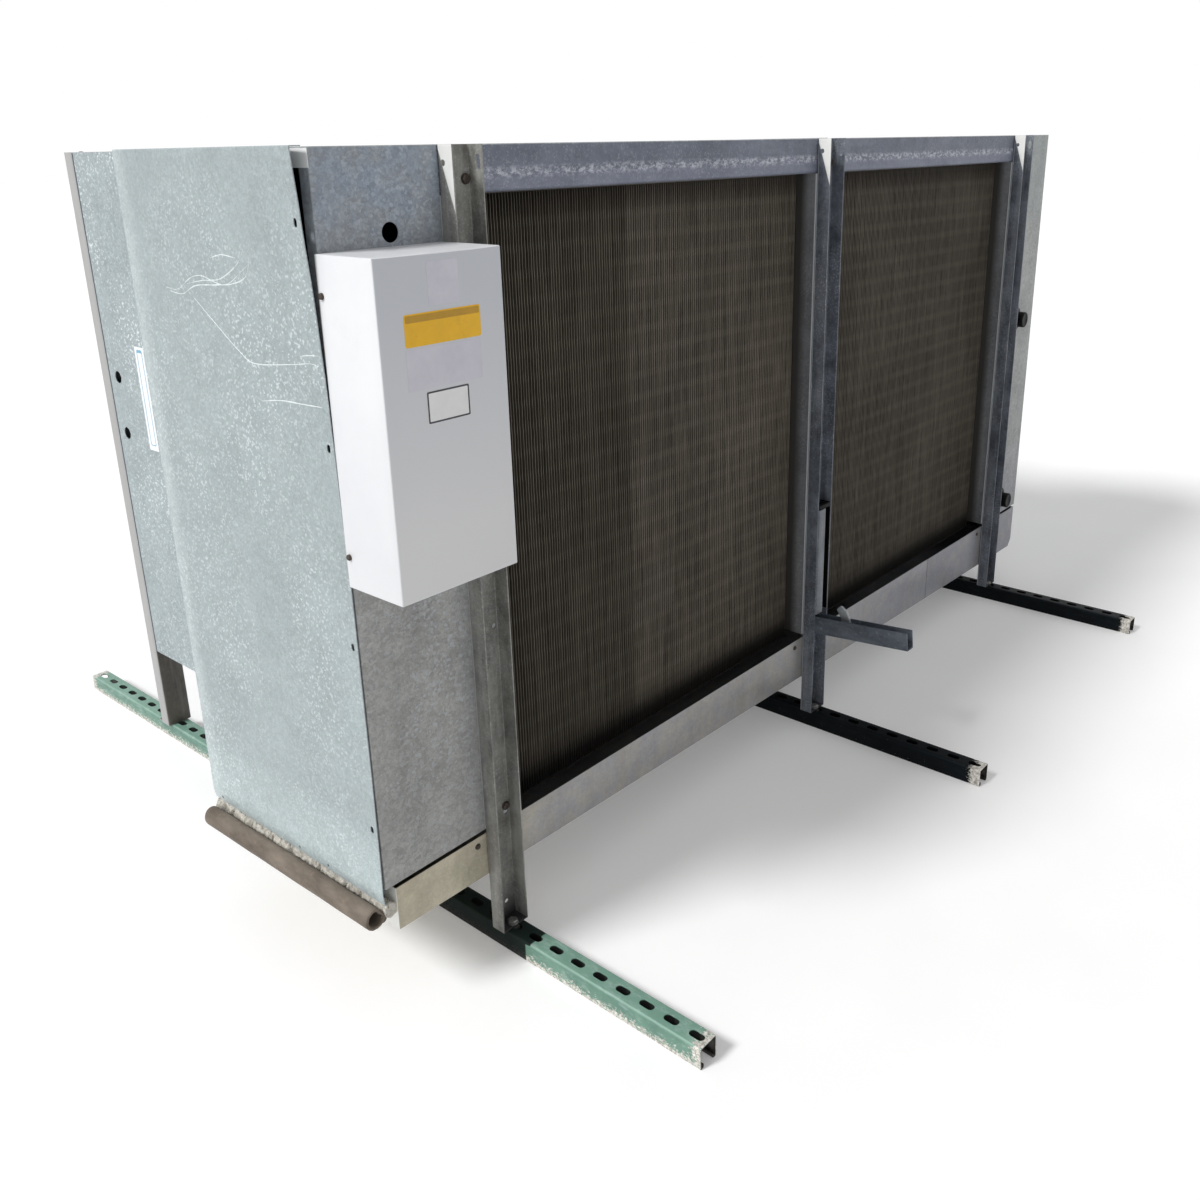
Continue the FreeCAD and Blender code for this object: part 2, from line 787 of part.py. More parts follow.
fan_guard("fan_guard_left", -1)
fan_guard("fan_guard_right", 1)

# Coil: two packs of fins, open from front to back, held by a cap plate above and below
pack_height = "coil_top - coil_low"


def fin_pack(label, low_x, width):
    body = doc.addObject("PartDesign::Body", label)
    base = outline(body, "XY_Plane", [("0", "0"), (width, "0"), (width, "coil_depth"), ("0", "coil_depth")])
    pad(body, base, pack_height)
    gap = outline(body, "XZ_Plane", [
        ("fin_pitch - fin_slot", "fin_cap"), ("fin_pitch", "fin_cap"),
        ("fin_pitch", f"{pack_height} - fin_cap"), ("fin_pitch - fin_slot", f"{pack_height} - fin_cap")])
    first = pocket(body, gap, "coil_depth")
    pattern = body.newObject("PartDesign::LinearPattern", label + "_gaps")
    pattern.Originals = [first]
    pattern.Direction = (base, ["H_Axis"])
    pattern.Occurrences = fin_count
    pattern.setExpression("Length", bind("fin_pitch") + f" * {fin_count - 1}")
    body.Tip = pattern
    put(body, (low_x, "coil_front", "coil_low"))
    return finish(body, label)


fin_count = int((spot("end_plate") - spot("mid_plate")) / size("fin_pitch") - 0.2)
fin_pack("coil_fins_left", "-end_plate", "end_plate - mid_plate")
fin_pack("coil_fins_right", "mid_plate", "end_plate - mid_plate")


def tube_plate(label, corners, x):
    body = profile(label, "XY_Plane", corners, "roof_under - case_floor")
    put(body, (x, "front", "case_floor"))
    return body


wide = "case_half - end_plate"
depth = "bay_depth"
left_corners = [
    ("0", "0"), (wide, "0"), (wide, depth), ("0", depth), ("0", depth + " - tube_plate"),
    (wide + " - tube_plate", depth + " - tube_plate"), (wide + " - tube_plate", "tube_plate"),
    ("0", "tube_plate"),
]
right_corners = [
    ("0", "0"), (wide, "0"), (wide, "tube_plate"), ("tube_plate", "tube_plate"),
    ("tube_plate", depth + " - tube_plate"), (wide, depth + " - tube_plate"), (wide, depth), ("0", depth),
]
middle_corners = [
    ("0", "0"), ("2 * mid_plate", "0"), ("2 * mid_plate", depth), ("2 * mid_plate - tube_plate", depth),
    ("2 * mid_plate - tube_plate", "tube_plate"), ("tube_plate", "tube_plate"),
    ("tube_plate", depth), ("0", depth),
]


def clear_beam(label, plate, low_x, width):
    """Notch the plate's top front corner round the front beam."""
    notch = block(label + "_notch", (width, "coil_setback + part_gap", "beam_drop + part_gap"),
                  (low_x, "front", "beam_low - part_gap"))
    return finish(cut(label, plate, [notch]), label)


clear_beam("tube_plate_left", tube_plate("tube_plate_left_sheet", left_corners, "-case_half"),
           "-case_half - 1", f"{wide} + 2")
clear_beam("tube_plate_right", tube_plate("tube_plate_right_sheet", right_corners, "end_plate"),
           "end_plate - 1", f"{wide} + 2")
clear_beam("tube_plate_middle", tube_plate("tube_plate_middle_sheet", middle_corners, "-mid_plate"),
           "-mid_plate - 1", "2 * mid_plate + 2")


# Return bends: hoops of tube that join the rows outside the left tube plate
def tube_along(points, radius):
    """A six-sided tube swept along straight runs with mitred corners."""
    start, run = points[0], points[1].sub(points[0])
    turn = FreeCAD.Rotation(FreeCAD.Vector(0, 0, 1), run)
    section = [start + turn.multVec(FreeCAD.Vector(radius * math.cos(math.pi * i / 3),
                                                   radius * math.sin(math.pi * i / 3), 0)) for i in range(6)]
    path = Part.Wire(Part.makePolygon(points))
    return path.makePipeShell([Part.Wire(Part.makePolygon(section + [section[0]]))], True, False, 1)


def return_bends(label):
    vector = FreeCAD.Vector
    step = size("bend_pitch")
    reach, half = step / 4, step / 4
    path = [vector(0, -half, 0), vector(-reach * 0.6, -half, 0), vector(-reach, -half * 0.4, 0),
            vector(-reach, half * 0.4, 0), vector(-reach * 0.6, half, 0), vector(0, half, 0)]
    hoop = tube_along(path, size("tube_size") / 2)
    rows = int((spot("coil_top") - size("coil_low")) / step) - 1
    hoops = []
    for row_number in range(rows):
        placed = hoop.copy()
        placed.translate(vector(-spot("end_plate") - size("tube_plate"),
                                spot("coil_front") + size("coil_depth") / 3,
                                size("coil_low") + step * (row_number + 0.75)))
        hoops.append(placed)
    return finish(shaped(label, Part.makeCompound(hoops)), label)


return_bends("return_bends")

# Left end bay: front plate with a knock-out, bent top and back, and the lift-off end cover
plate_corners = [
    ("0", "0"), ("left_bay - 4", "0"), ("left_bay - 4", "sheet_wall"), ("sheet_wall", "sheet_wall"),
    ("sheet_wall", "20"), ("0", "20"),
]
left_plate = profile("left_front_sheet", "XY_Plane", plate_corners, "roof_under - case_floor")
put(left_plate, ("left_end + 4", "front", "case_floor"))
knockout = rod("knockout_hole", "knockout_size / 2", "sheet_wall * 3",
               ("-case_half - left_bay * 0.44", "front - sheet_wall", "knockout_height"), "y")
finish(cut("left_front_plate", left_plate, [knockout]), "left_front_plate")

wrap_corners = [
    ("0", "roof_under - case_floor"), ("bay_depth - sheet_wall", "roof_under - case_floor"),
    ("bay_depth - sheet_wall", "0"), ("bay_depth", "0"),
    ("bay_depth", "post_top - case_floor"), ("0", "post_top - case_floor"),
]


def bay_wrap(label, x, length):
    body = profile(label, "YZ_Plane", wrap_corners, length)
    put(body, (x, "front", "case_floor"))
    return finish(body, label)


bay_wrap("left_bay_wrap", "left_end", "left_bay")
bay_wrap("right_bay_wrap", "case_half", "right_bay - sheet_wall")


def sprung_cover():
    """A flat sheet whose front edge stands off the bay, most at the top, with a lip over the roof."""
    vector = FreeCAD.Vector
    wall, gap = size("sheet_wall"), size("part_gap")
    face = spot("left_end") - gap
    front, back = spot("front") + gap, spot("bay_back") + 1
    top = size("post_top") + gap
    lip = size("cover_lip")

    def section(front_z, back_z, spring, inward):
        inner = lip if inward else 0
        corners = [
            vector(face + inner, back, back_z), vector(face - spring + inner, front, front_z),
            vector(face - spring - wall, front, front_z), vector(face - wall, back, back_z),
        ]
        return Part.makePolygon(corners + [corners[0]])

    low = section(size("cover_low_front"), size("cover_low_back"), size("spring_low"), False)
    skin = Part.makeLoft([low, section(top, top, size("spring_top"), False)], True, True)
    lip_low = section(top, top, size("spring_top"), True)
    lip_high = section(top + wall, top + wall, size("spring_top"), True)
    fold = Part.makeLoft([lip_low, lip_high], True, True)
    return skin.fuse(fold).removeSplitter()


finish(shaped("left_end_cover", sprung_cover()), "left_end_cover")

# Right end bay: front plate with two pipe holes, and the end cover
right_plate = block("right_front_sheet", ("right_bay - sheet_wall", "sheet_wall", "roof_under - case_floor"),
                    ("case_half", "front", "case_floor"))
pipe_holes = [
    rod(f"pipe_hole_{number}", "grommet_size / 2", "sheet_wall * 3",
        ("pipe_x", "front - sheet_wall", height), "y")
    for number, height in enumerate(("liquid_height", "suction_height"))
]
finish(cut("right_front_plate", right_plate, pipe_holes), "right_front_plate")
finish(block("right_end_cover", ("sheet_wall", "bay_depth", "post_top - case_floor"),
             ("right_end - sheet_wall", "front", "case_floor")), "right_end_cover")


# Pipe stubs with their grommets and caps
def pipe_stub(label, height, length):
    return rod(label, "stub_size / 2", length, ("pipe_x", "front - stub_reach + cap_length", height), "y")


finish(group("pipe_stubs", [
    pipe_stub("liquid_stub", "liquid_height", "spreader_y - front + stub_reach - cap_length"),
    pipe_stub("suction_stub", "suction_height",
              "header_y - front + stub_reach - cap_length - header_size / 2"),
]), "pipe_stubs")
caps = []
grommets = []
for number, height in enumerate(("liquid_height", "suction_height")):
    caps.append(rod(f"cap_{number}", "stub_size / 2 + cap_wall", "cap_length",
                    ("pipe_x", "front - stub_reach", height), "y"))
    disc = rod(f"grommet_disc_{number}", "grommet_size / 2 - part_gap", 10,
               ("pipe_x", "front - 1", height), "y")
    eye = rod(f"grommet_eye_{number}", "(stub_size + part_gap) / 2", 14, ("pipe_x", "front - 3", height), "y")
    grommets.append(cut(f"grommet_{number}", disc, [eye]))
finish(group("stub_caps", caps), "stub_caps")
finish(group("pipe_grommets", grommets), "pipe_grommets")

# Suction header with its taps into the coil, and the liquid distributor
taps = []
tap_count = 4
for number in range(tap_count):
    height = f"suction_height + 40 + (liquid_height - suction_height + 220) * {number} / {tap_count - 1}"
    taps.append(prism(f"header_tap_{number}", 8, "tube_size / 2", "pipe_x - end_plate",
                    ("end_plate + tube_plate", "header_y", height), "x"))
header = rod("header_pipe", "header_size / 2", "liquid_height - suction_height + 330",
             ("pipe_x", "header_y", "suction_height - 30"))
finish(join("suction_header", [header] + taps), "suction_header")


def distributor():
    """A cone behind the liquid stub with feeder tubes that run to the coil's end plate."""
    vector = FreeCAD.Vector
    x, y, z = spot("pipe_x"), spot("spreader_y"), size("liquid_height")
    length, stub = size("spreader_length"), size("stub_size")
    cone = Part.makeCone(stub / 2, stub / 4, length, vector(x, y, z), vector(0, 1, 0))
    tip = vector(x, y + length * 0.9, z)
    wall_x = spot("end_plate") + size("tube_plate")
    feeders = []
    for spread in (-1.5, -0.5, 0.5, 1.5):
        run = vector(wall_x, y + size("feeder_reach"), z + spread * size("bend_pitch")).sub(tip)
        feeders.append(tube_along([tip, tip + run], size("feeder_size") / 2))
    trim = Part.makeBox(size("right_bay"), size("bay_depth"), size("post_top"),
                        vector(wall_x, spot("front"), 0))
    return cone.fuse(feeders).common(trim)


finish(shaped("liquid_distributor", distributor()), "liquid_distributor")


# Drain pan: a tray whose floor falls to the right, with a drain pipe through it
def pan_wedge(name, inset, floor_lift, top):
    """A wedge in front view; inset and lift make the hollow from the same corners."""
    corners = [
        (inset, f"pan_left_low + {floor_lift}"),
        (f"pan_right - pan_left - {inset}", f"pan_right_low + {floor_lift}"),
        (f"pan_right - pan_left - {inset}", top), (inset, top),
    ]
    wedge = profile(name, "XZ_Plane", corners, f"bay_depth - 2 * {inset}", reverse=True)
    return put(wedge, ("pan_left", f"front + {inset}", "0"))


pan_outside = pan_wedge("pan_outside", "0", "0", "pan_lip")
pan_inside = pan_wedge("pan_inside", "pan_wall", "pan_wall", "pan_lip + 10")
drain_hole = rod("drain_hole", "drain_size / 2 + part_gap / 2", "2 * drain_length",
                 ("drain_x", "drain_y", "pan_right_low - drain_length"))
finish(cut("drain_pan", pan_outside, [pan_inside, drain_hole]), "drain_pan")
drain_tube = rod("drain_tube", "drain_size / 2", "drain_length + 8",
                 ("drain_x", "drain_y", "pan_right_low - drain_length"))
floor_fall = "(pan_left_low - pan_right_low) / (pan_right - pan_left)"
nut_top = f"pan_right_low + {floor_fall} * (drain_inset - nut_across / sqrt(3)) - part_gap / 3"
drain_nut = hexagon("drain_nut", "nut_across", "nut_height",
                    ("drain_x", "drain_y", f"{nut_top} - nut_height"))
drain_bore = prism("drain_bore", 8, "drain_size / 2 - drain_wall", "drain_length + 12",
                   ("drain_x", "drain_y", "pan_right_low - drain_length - 2"))
finish(cut("drain_outlet", join("drain_fitting", [drain_tube, drain_nut]), [drain_bore]), "drain_outlet")

# Control box: a back tray screwed to the bay and a white lift-off cover
tray_inset = "box_wall + part_gap"
tray_outside = block("tray_outside",
                     (f"box_width - 2 * ({tray_inset})", "box_tray", f"box_height - 2 * ({tray_inset})"),
                     (f"box_left + {tray_inset}", "front - box_tray", f"box_low + {tray_inset}"))
tray_inside = block("tray_inside",
                    (f"box_width - 2 * ({tray_inset} + box_wall)", "box_tray",
                     f"box_height - 2 * ({tray_inset} + box_wall)"),
                    (f"box_left + {tray_inset} + box_wall", "front - box_tray - box_wall",
                     f"box_low + {tray_inset} + box_wall"))
finish(cut("control_box_tray", tray_outside, [tray_inside]), "control_box_tray")

cover_corners = [("0", "0"), ("box_width", "0"), ("box_width", "box_height"), ("0", "box_height")]
cover = profile("cover_outside", "XZ_Plane", cover_corners, "box_depth - part_gap", reverse=True)
round_edges(cover, 2, [(0, 0), (size("box_width"), 0)], "box_wall * 2")
put(cover, ("box_left", "box_front", "box_low"))
cover_inside = block("cover_inside", ("box_width - 2 * box_wall", "box_depth", "box_height - 2 * box_wall"),
                     ("box_left + box_wall", "box_front + box_wall", "box_low + box_wall"))
finish(cut("control_box_cover", cover, [cover_inside]), "control_box_cover")

cover_screws = []
for number, height in enumerate(("box_low + screw_low", "box_low + box_height - screw_drop")):
    cover_screws.append(hexagon(f"cover_screw_{number}", "screw_across", "screw_rise",
                                ("box_left - screw_rise", "front - screw_set", height), "x"))
finish(group("cover_screws", cover_screws), "cover_screws")

# Inside the control box: a mounting rail with a terminal block and two contactors
finish(block("mounting_rail", ("box_width - 2 * mount_inset", "mount_depth", "mount_height"),
             ("box_left + mount_inset", "tray_face - mount_depth", "mount_low")), "mounting_rail")
terminal_front = "tray_face - mount_depth - terminal_depth"
terminal_low = "mount_low - (terminal_height - mount_height) / 2 + 0.5"
terminal_body = block("terminal_body", ("terminal_width", "terminal_depth", "terminal_height"),
                      ("box_left + terminal_inset", terminal_front, terminal_low))
terminal_gaps = [
    block(f"terminal_gap_{number}", ("terminal_groove", "groove_depth + 1", "terminal_height + 10"),
          (f"box_left + terminal_inset + terminal_pitch * {number + 1} - terminal_groove / 2",
           f"{terminal_front} - 1", f"{terminal_low} - 5"))
    for number in range(11)
]
finish(cut("terminal_block", terminal_body, terminal_gaps), "terminal_block")


def contactor(label, x):
    base = block(label + "_base", ("relay_width", "relay_depth", "relay_height"),
                 (x, "tray_face - relay_depth", "relay_low"))
    top = block(label + "_top", ("relay_width - 2 * relay_step", "relay_rise", "relay_height - 32"),
                (f"{x} + relay_step", "tray_face - relay_depth - relay_rise", "relay_low + 16"))
    return join(label, [base, top])


finish(group("contactors", [
    contactor("fan_contactor", "box_left + relay_inset"),
    contactor("heater_contactor", "box_left + relay_inset + relay_pitch"),
]), "contactors")

# Bracket on the middle front post: a channel nested in the post and an arm that tips up
inner_left = "-post_web / 2 + post_wall"
upright_outside = block("upright_outside", ("arm_width", "post_flange", "upright_height"),
                        (inner_left, "upright_front", "upright_low"))
upright_inside = block("upright_inside", ("arm_width - 2 * post_wall", "post_flange", "upright_height + 2"),
                       (f"{inner_left} + post_wall", "upright_front + post_wall", "upright_low - 1"))
finish(cut("bracket_upright", upright_outside, [upright_inside]), "bracket_upright")
finish(block("bracket_plug", ("cavity", "post_flange - 2", "plug_height"),
             (inner_left, "upright_front + 2", "upright_low + upright_height")), "bracket_plug")

tilt = FreeCAD.Rotation(FreeCAD.Vector(1, 0, 0), -size("arm_tilt"))
arm_outside = block("arm_outside", ("arm_width", "arm_reach", "arm_height"), ("0", "-arm_reach", "0"))
arm_inside = block("arm_inside", ("arm_width - 2 * post_wall", "arm_reach + 2", "arm_height"),
                   ("post_wall", "-arm_reach - 1", "post_wall"))
arm = cut("bracket_arm", arm_outside, [arm_inside])
put(arm, (inner_left, "front - post_wall - arm_set", "arm_low"), tilt)
finish(arm, "bracket_arm")

clip_plate = block("clip_plate", ("clip_wall", "clip_width", "arm_height + clip_rise"),
                   ("arm_width - post_wall - clip_wall", "-arm_reach * 0.4", "post_wall"))
clip_foot = block("clip_foot", ("arm_width - 2 * post_wall", "clip_width", "clip_wall"),
                  ("post_wall", "-arm_reach * 0.4", "post_wall"))
clip = join("bracket_clip", [clip_plate, clip_foot])
put(clip, (inner_left, "front - post_wall - arm_set", "arm_low"), tilt)
finish(clip, "bracket_clip")

# Foam sleeve under the left end cover, and the bead that seals it to the pan
slope = math.degrees(math.atan((size("cover_low_front") - size("cover_low_back")) / size("bay_depth")))
sleeve_turn = FreeCAD.Rotation(FreeCAD.Vector(1, 0, 0), -90 - slope)
sleeve_outside = doc.addObject("Part::Cylinder", "sleeve_outside")
sleeve_outside.setExpression("Radius", bind("sleeve_size / 2"))
sleeve_outside.setExpression("Height", bind("bay_depth - 8"))
put(sleeve_outside, ("sleeve_x", "front", "cover_low_front - sleeve_size / 2 - 1"), sleeve_turn)
sleeve_mouth = doc.addObject("Part::Cylinder", "sleeve_mouth_tool")
sleeve_mouth.setExpression("Radius", bind("sleeve_hollow / 2"))
sleeve_mouth.setExpression("Height", bind("sleeve_mouth + 1"))
put(sleeve_mouth, ("sleeve_x", "front - 1", "cover_low_front - sleeve_size / 2 - 1"), sleeve_turn)
finish(cut("foam_sleeve", sleeve_outside, [sleeve_mouth]), "foam_sleeve")
bead_left = "sleeve_x + sleeve_size / 2 + part_gap"
finish(block("sealant_bead", (f"pan_left - ({bead_left})", "bay_depth - 3 * bead_inset", "bead_height"),
             (bead_left, "front + bead_inset", "cover_low_back - bead_height - 1")), "sealant_bead")

# Check every object, then write one file for each node
doc.recompute()
failed = [item.Label for item in doc.Objects if "Invalid" in item.State or "Error" in item.State]
if failed:
    raise RuntimeError(f"these did not build: {failed}")
unsound = [node.Label for node in nodes
           if node.Shape.isNull() or not node.Shape.isValid() or not node.Shape.Solids]
if unsound:
    raise RuntimeError(f"these have no valid solid: {unsound}")

os.makedirs("parts", exist_ok=True)
for node in nodes:
    node.Shape.exportStep(f"parts/{node.Label}.step")
print(len(nodes), "nodes written")
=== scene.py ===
# Looks for the large unit cooler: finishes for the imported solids, and detailed
# pieces where the solids are plain. Metres, Z up, the floor at zero.
import bpy
import bmesh
import math
import random
from contextlib import contextmanager
from mathutils import Matrix, Vector, noise
from mathutils.bvhtree import BVHTree


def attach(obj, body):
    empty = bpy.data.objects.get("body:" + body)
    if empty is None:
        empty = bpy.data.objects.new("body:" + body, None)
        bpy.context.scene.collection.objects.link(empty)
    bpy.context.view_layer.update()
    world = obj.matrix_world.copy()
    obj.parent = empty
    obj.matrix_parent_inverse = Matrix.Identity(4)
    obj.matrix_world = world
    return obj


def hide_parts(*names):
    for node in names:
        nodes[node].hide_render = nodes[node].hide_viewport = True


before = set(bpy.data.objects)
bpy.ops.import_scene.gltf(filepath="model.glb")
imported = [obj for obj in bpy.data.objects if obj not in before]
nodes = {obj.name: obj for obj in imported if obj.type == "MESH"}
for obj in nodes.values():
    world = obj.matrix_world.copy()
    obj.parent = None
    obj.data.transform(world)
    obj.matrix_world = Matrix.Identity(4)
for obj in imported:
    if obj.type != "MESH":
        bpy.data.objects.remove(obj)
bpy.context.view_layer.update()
rng = random.Random(11)
fullTurn = 2 * math.pi
print("frame loaded:", len(nodes), "solids")

# tools for finishes


# colours are written as the eye reads them, 0 to 255
def tone(red, green, blue):
    return tuple(((c / 255 + 0.055) / 1.055) ** 2.4 for c in (red, green, blue)) + (1.0,)


def feed(tree, socket, value):
    if isinstance(value, bpy.types.NodeSocket):
        tree.links.new(value, socket)
    elif isinstance(value, tuple) and len(value) == 3 and socket.type == "RGBA":
        socket.default_value = tone(*value)
    else:
        socket.default_value = value


def fill(tree, node, values):
    for name, value in values.items():
        feed(tree, node.inputs[name], value)
    return node


def made(tree, kind, values):
    return fill(tree, tree.nodes.new("ShaderNode" + kind), values)


def newFinish(name, **values):
    finish = bpy.data.materials.new(name)
    finish.use_nodes = True
    tree = finish.node_tree
    shader = tree.nodes["Principled BSDF"]
    fill(tree, shader, {word.capitalize(): value for word, value in values.items()})
    return finish, tree, shader


def cloud(tree, scale, detail=4, rough=0.6, stretch=(1, 1, 1)):
    coords = tree.nodes.new("ShaderNodeTexCoord").outputs["Object"]
    spot = made(tree, "Mapping", {"Vector": coords, "Scale": stretch}).outputs["Vector"]
    return made(tree, "TexNoise", {"Vector": spot, "Scale": scale, "Detail": detail, "Roughness": rough}).outputs["Fac"]


def crystals(tree, scale):
    coords = tree.nodes.new("ShaderNodeTexCoord").outputs["Object"]
    cells = made(tree, "TexVoronoi", {"Vector": coords, "Scale": scale}).outputs["Color"]
    return made(tree, "SeparateColor", {"Color": cells}).outputs["Red"]


def ramp(tree, factor, *stops):
    node = made(tree, "ValToRGB", {"Fac": factor})
    for element, (place, colour) in zip(node.color_ramp.elements, stops):
        element.position = place
        element.color = tone(*colour) if isinstance(colour, tuple) else (colour, colour, colour, 1)
    return node.outputs["Color"]


def calc(tree, how, first, second=0.5, third=0.5, clamp=False):
    node = made(tree, "Math", {0: first, 1: second, 2: third})
    node.operation = how
    node.use_clamp = clamp
    return node.outputs["Value"]


def times(tree, first, *others, clamp=False):
    for other in others:
        first = calc(tree, "MULTIPLY", first, other, clamp=clamp)
    return first


# a colour over another, as far as the product of the masks says
def coat(tree, under, over, *masks, how="MIX"):
    node = tree.nodes.new("ShaderNodeMix")
    node.data_type = "RGBA"
    node.blend_type = how
    return fill(tree, node, {"Factor": times(tree, *masks), "A": under, "B": over}).outputs["Result"]


def axisOf(tree, letter, kind="Object"):
    coords = tree.nodes.new("ShaderNodeTexCoord").outputs[kind]
    return made(tree, "SeparateXYZ", {"Vector": coords}).outputs[letter]


def level(tree, value, low, high, least=0.0, most=1.0):
    return made(tree, "MapRange", {"Value": value, "From Min": low, "From Max": high, "To Min": least,
                                   "To Max": most}).outputs["Result"]


# 0 below low, 1 above high, along one axis
def band(tree, letter, low, high):
    return level(tree, axisOf(tree, letter), low, high)


# 1 on faces that look along an axis, 0 on the others
def facing(tree, letter, way):
    return level(tree, axisOf(tree, letter, "Normal"), 0.6 * way, 0.9 * way)


def relief(tree, shader, height, strength=0.3, distance=0.001):
    bump = made(tree, "Bump", {"Strength": strength, "Distance": distance, "Height": height})
    tree.links.new(bump.outputs["Normal"], shader.inputs["Normal"])


# tools for pieces


def take(values, *words):
    return [values[word] for word in words]


def linked(name, data):
    piece = bpy.data.objects.new(name, data)
    bpy.context.scene.collection.objects.link(piece)
    return piece


# a mesh, open for changes
@contextmanager
def opened(mesh):
    work = bmesh.new()
    work.from_mesh(mesh)
    yield work
    work.to_mesh(mesh)
    work.free()


def newPiece(name, verts, faces):
    mesh = bpy.data.meshes.new(name)
    mesh.from_pydata([tuple(v) for v in verts], [], faces)
    mesh.update()
    with opened(mesh) as work:
        bmesh.ops.recalc_face_normals(work, faces=work.faces)
    return linked(name, mesh)


def shownMesh(piece):
    return bpy.data.meshes.new_from_object(piece.evaluated_get(bpy.context.evaluated_depsgraph_get()))


def settleMods(piece):
    mesh = shownMesh(piece)
    piece.modifiers.clear()
    piece.data = mesh


def softEdges(piece, width, steps=2, angle=35):
    bevel = piece.modifiers.new("edges", "BEVEL")
    bevel.width = width
    bevel.segments = steps
    bevel.limit_method = "ANGLE"
    bevel.angle_limit = math.radians(angle)
    settleMods(piece)


def dress(piece, finish, slotName, *standsFor, body="cabinet", smooth=35):
    piece.data.materials.clear()
    piece.data.materials.append(finishes[finish])
    for face in piece.data.polygons:
        face.use_smooth = smooth > 0
    if smooth > 0:
        piece.data.set_sharp_from_angle(angle=math.radians(smooth))
    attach(piece, body)
    if standsFor:
        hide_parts(*standsFor)
    return piece


# a corner list with a radius each, turned into a smooth closed outline
def roundedLine(corners, steps=4):
    points = []
    count = len(corners)
    for i, (x, y, radius) in enumerate(corners):
        here = Vector((x, y))
        back = (Vector(corners[i - 1][:2]) - here).normalized()
        ahead = (Vector(corners[(i + 1) % count][:2]) - here).normalized()
        if radius <= 0:
            points.append(here)
            continue
        half = back.angle(ahead) / 2
        reach = radius / math.tan(half)
        middle = here + (back + ahead).normalized() * (radius / math.sin(half))
        start = here + back * reach - middle
        sweep = start.angle_signed(here + ahead * reach - middle)
        for step in range(steps + 1):
            points.append(middle + Matrix.Rotation(-sweep * step / steps, 2) @ start)
    return points


def boxLine(left, right, low, high, radius=0, steps=4):
    return roundedLine([(left, low, radius), (right, low, radius), (right, high, radius), (left, high, radius)], steps)


def polar(u, v, radius, angle):
    return u + radius * math.cos(angle), v + radius * math.sin(angle)


def circleLine(u, v, radius, sides=24):
    return [polar(u, v, radius, fullTurn / sides * i) for i in range(sides)]


def slotLine(u, v, halfWide, halfLong, sides=8):
    straight = halfLong - halfWide
    return [polar(u, v + end * straight, halfWide, math.pi * i / sides + (0 if end > 0 else math.pi))
            for end in (1, -1) for i in range(sides + 1)]


spread = {
    "x": lambda u, v, w: (w, u, v),
    "y": lambda u, v, w: (u, w, v),
    "z": lambda u, v, w: (u, v, w),
}


# solid outlines that reach from low to high along an axis
def prismOf(name, outlines, low, high, axis):
    verts, faces = [], []
    for line in outlines:
        base, count = len(verts), len(line)
        verts += [spread[axis](p[0], p[1], height) for height in (low, high) for p in line]
        faces += [list(range(base, base + count)), list(range(base + count, base + 2 * count))]
        for i in range(count):
            j = (i + 1) % count
            faces.append([base + i, base + j, base + count + j, base + count + i])
    return newPiece(name, verts, faces)


spare = 0.01  # how far a cutter reaches past a wall


# cuts each outline out of a piece
def bore(piece, outlines, low, high, axis):
    tool = prismOf("tool", outlines, low, high, axis)
    cutter = piece.modifiers.new("holes", "BOOLEAN")
    cutter.operation = "DIFFERENCE"
    cutter.solver = "EXACT"
    cutter.object = tool
    settleMods(piece)
    bpy.data.objects.remove(tool)


# a section of radius and height pairs, spun about an axis through centre
def spun(name, section, centre, axis="y", sides=64, closed=True):
    count = len(section)
    verts = [Vector(centre) + Vector(spread[axis](*polar(0, 0, radius, fullTurn * i / sides), height))
             for i in range(sides) for radius, height in section]
    faces = []
    for i in range(sides):
        j = (i + 1) % sides
        for k in range(count if closed else count - 1):
            m = (k + 1) % count
            faces.append([i * count + k, i * count + m, j * count + m, j * count + k])
    piece = newPiece(name, verts, faces)
    with opened(piece.data) as work:
        bmesh.ops.remove_doubles(work, verts=work.verts, dist=1e-6)
        bmesh.ops.recalc_face_normals(work, faces=work.faces)
    return piece


# closed outlines joined one after another, with both ends filled
def loftOf(name, rings, caps=True):
    count = len(rings[0])
    faces = []
    for k in range(len(rings) - 1):
        for i in range(count):
            j = (i + 1) % count
            faces.append([k * count + i, k * count + j, (k + 1) * count + j, (k + 1) * count + i])
    if caps:
        last = (len(rings) - 1) * count
        faces += [list(range(count)), list(range(last, last + count))]
    return newPiece(name, [point for ring in rings for point in ring], faces)


# round wire or tube along lists of points
def wires(name, lines, radius, closed=False, sides=3, smoothLine=False):
    curve = bpy.data.curves.new(name, "CURVE")
    curve.dimensions = "3D"
    curve.bevel_depth = radius
    curve.bevel_resolution = sides
    curve.use_fill_caps = not closed
    curve.resolution_u = 6
    for line in lines:
        spline = curve.splines.new("NURBS" if smoothLine else "POLY")
        spline.points.add(len(line) - 1)
        for point, place in zip(spline.points, line):
            point.co = (*place, 1)
        spline.use_cyclic_u = closed
        if smoothLine:
            spline.order_u = 3
            spline.use_endpoint_u = not closed
    holder = linked(name + "_line", curve)
    mesh = shownMesh(holder)
    bpy.data.objects.remove(holder)
    return linked(name, mesh)


def oneOf(name, parts):
    mesh = bpy.data.meshes.new(name)
    with opened(mesh) as work:
        for part in parts:
            work.from_mesh(part.data)
            bpy.data.objects.remove(part)
    return linked(name, mesh)


# the same part at several places
def copiesAt(name, part, places):
    mesh = bpy.data.meshes.new(name)
    with opened(mesh) as work:
        for place in places:
            known = len(work.verts)
            work.from_mesh(part.data)
            work.verts.ensure_lookup_table()
            bmesh.ops.translate(work, verts=work.verts[known:], vec=place)
    bpy.data.objects.remove(part)
    return linked(name, mesh)


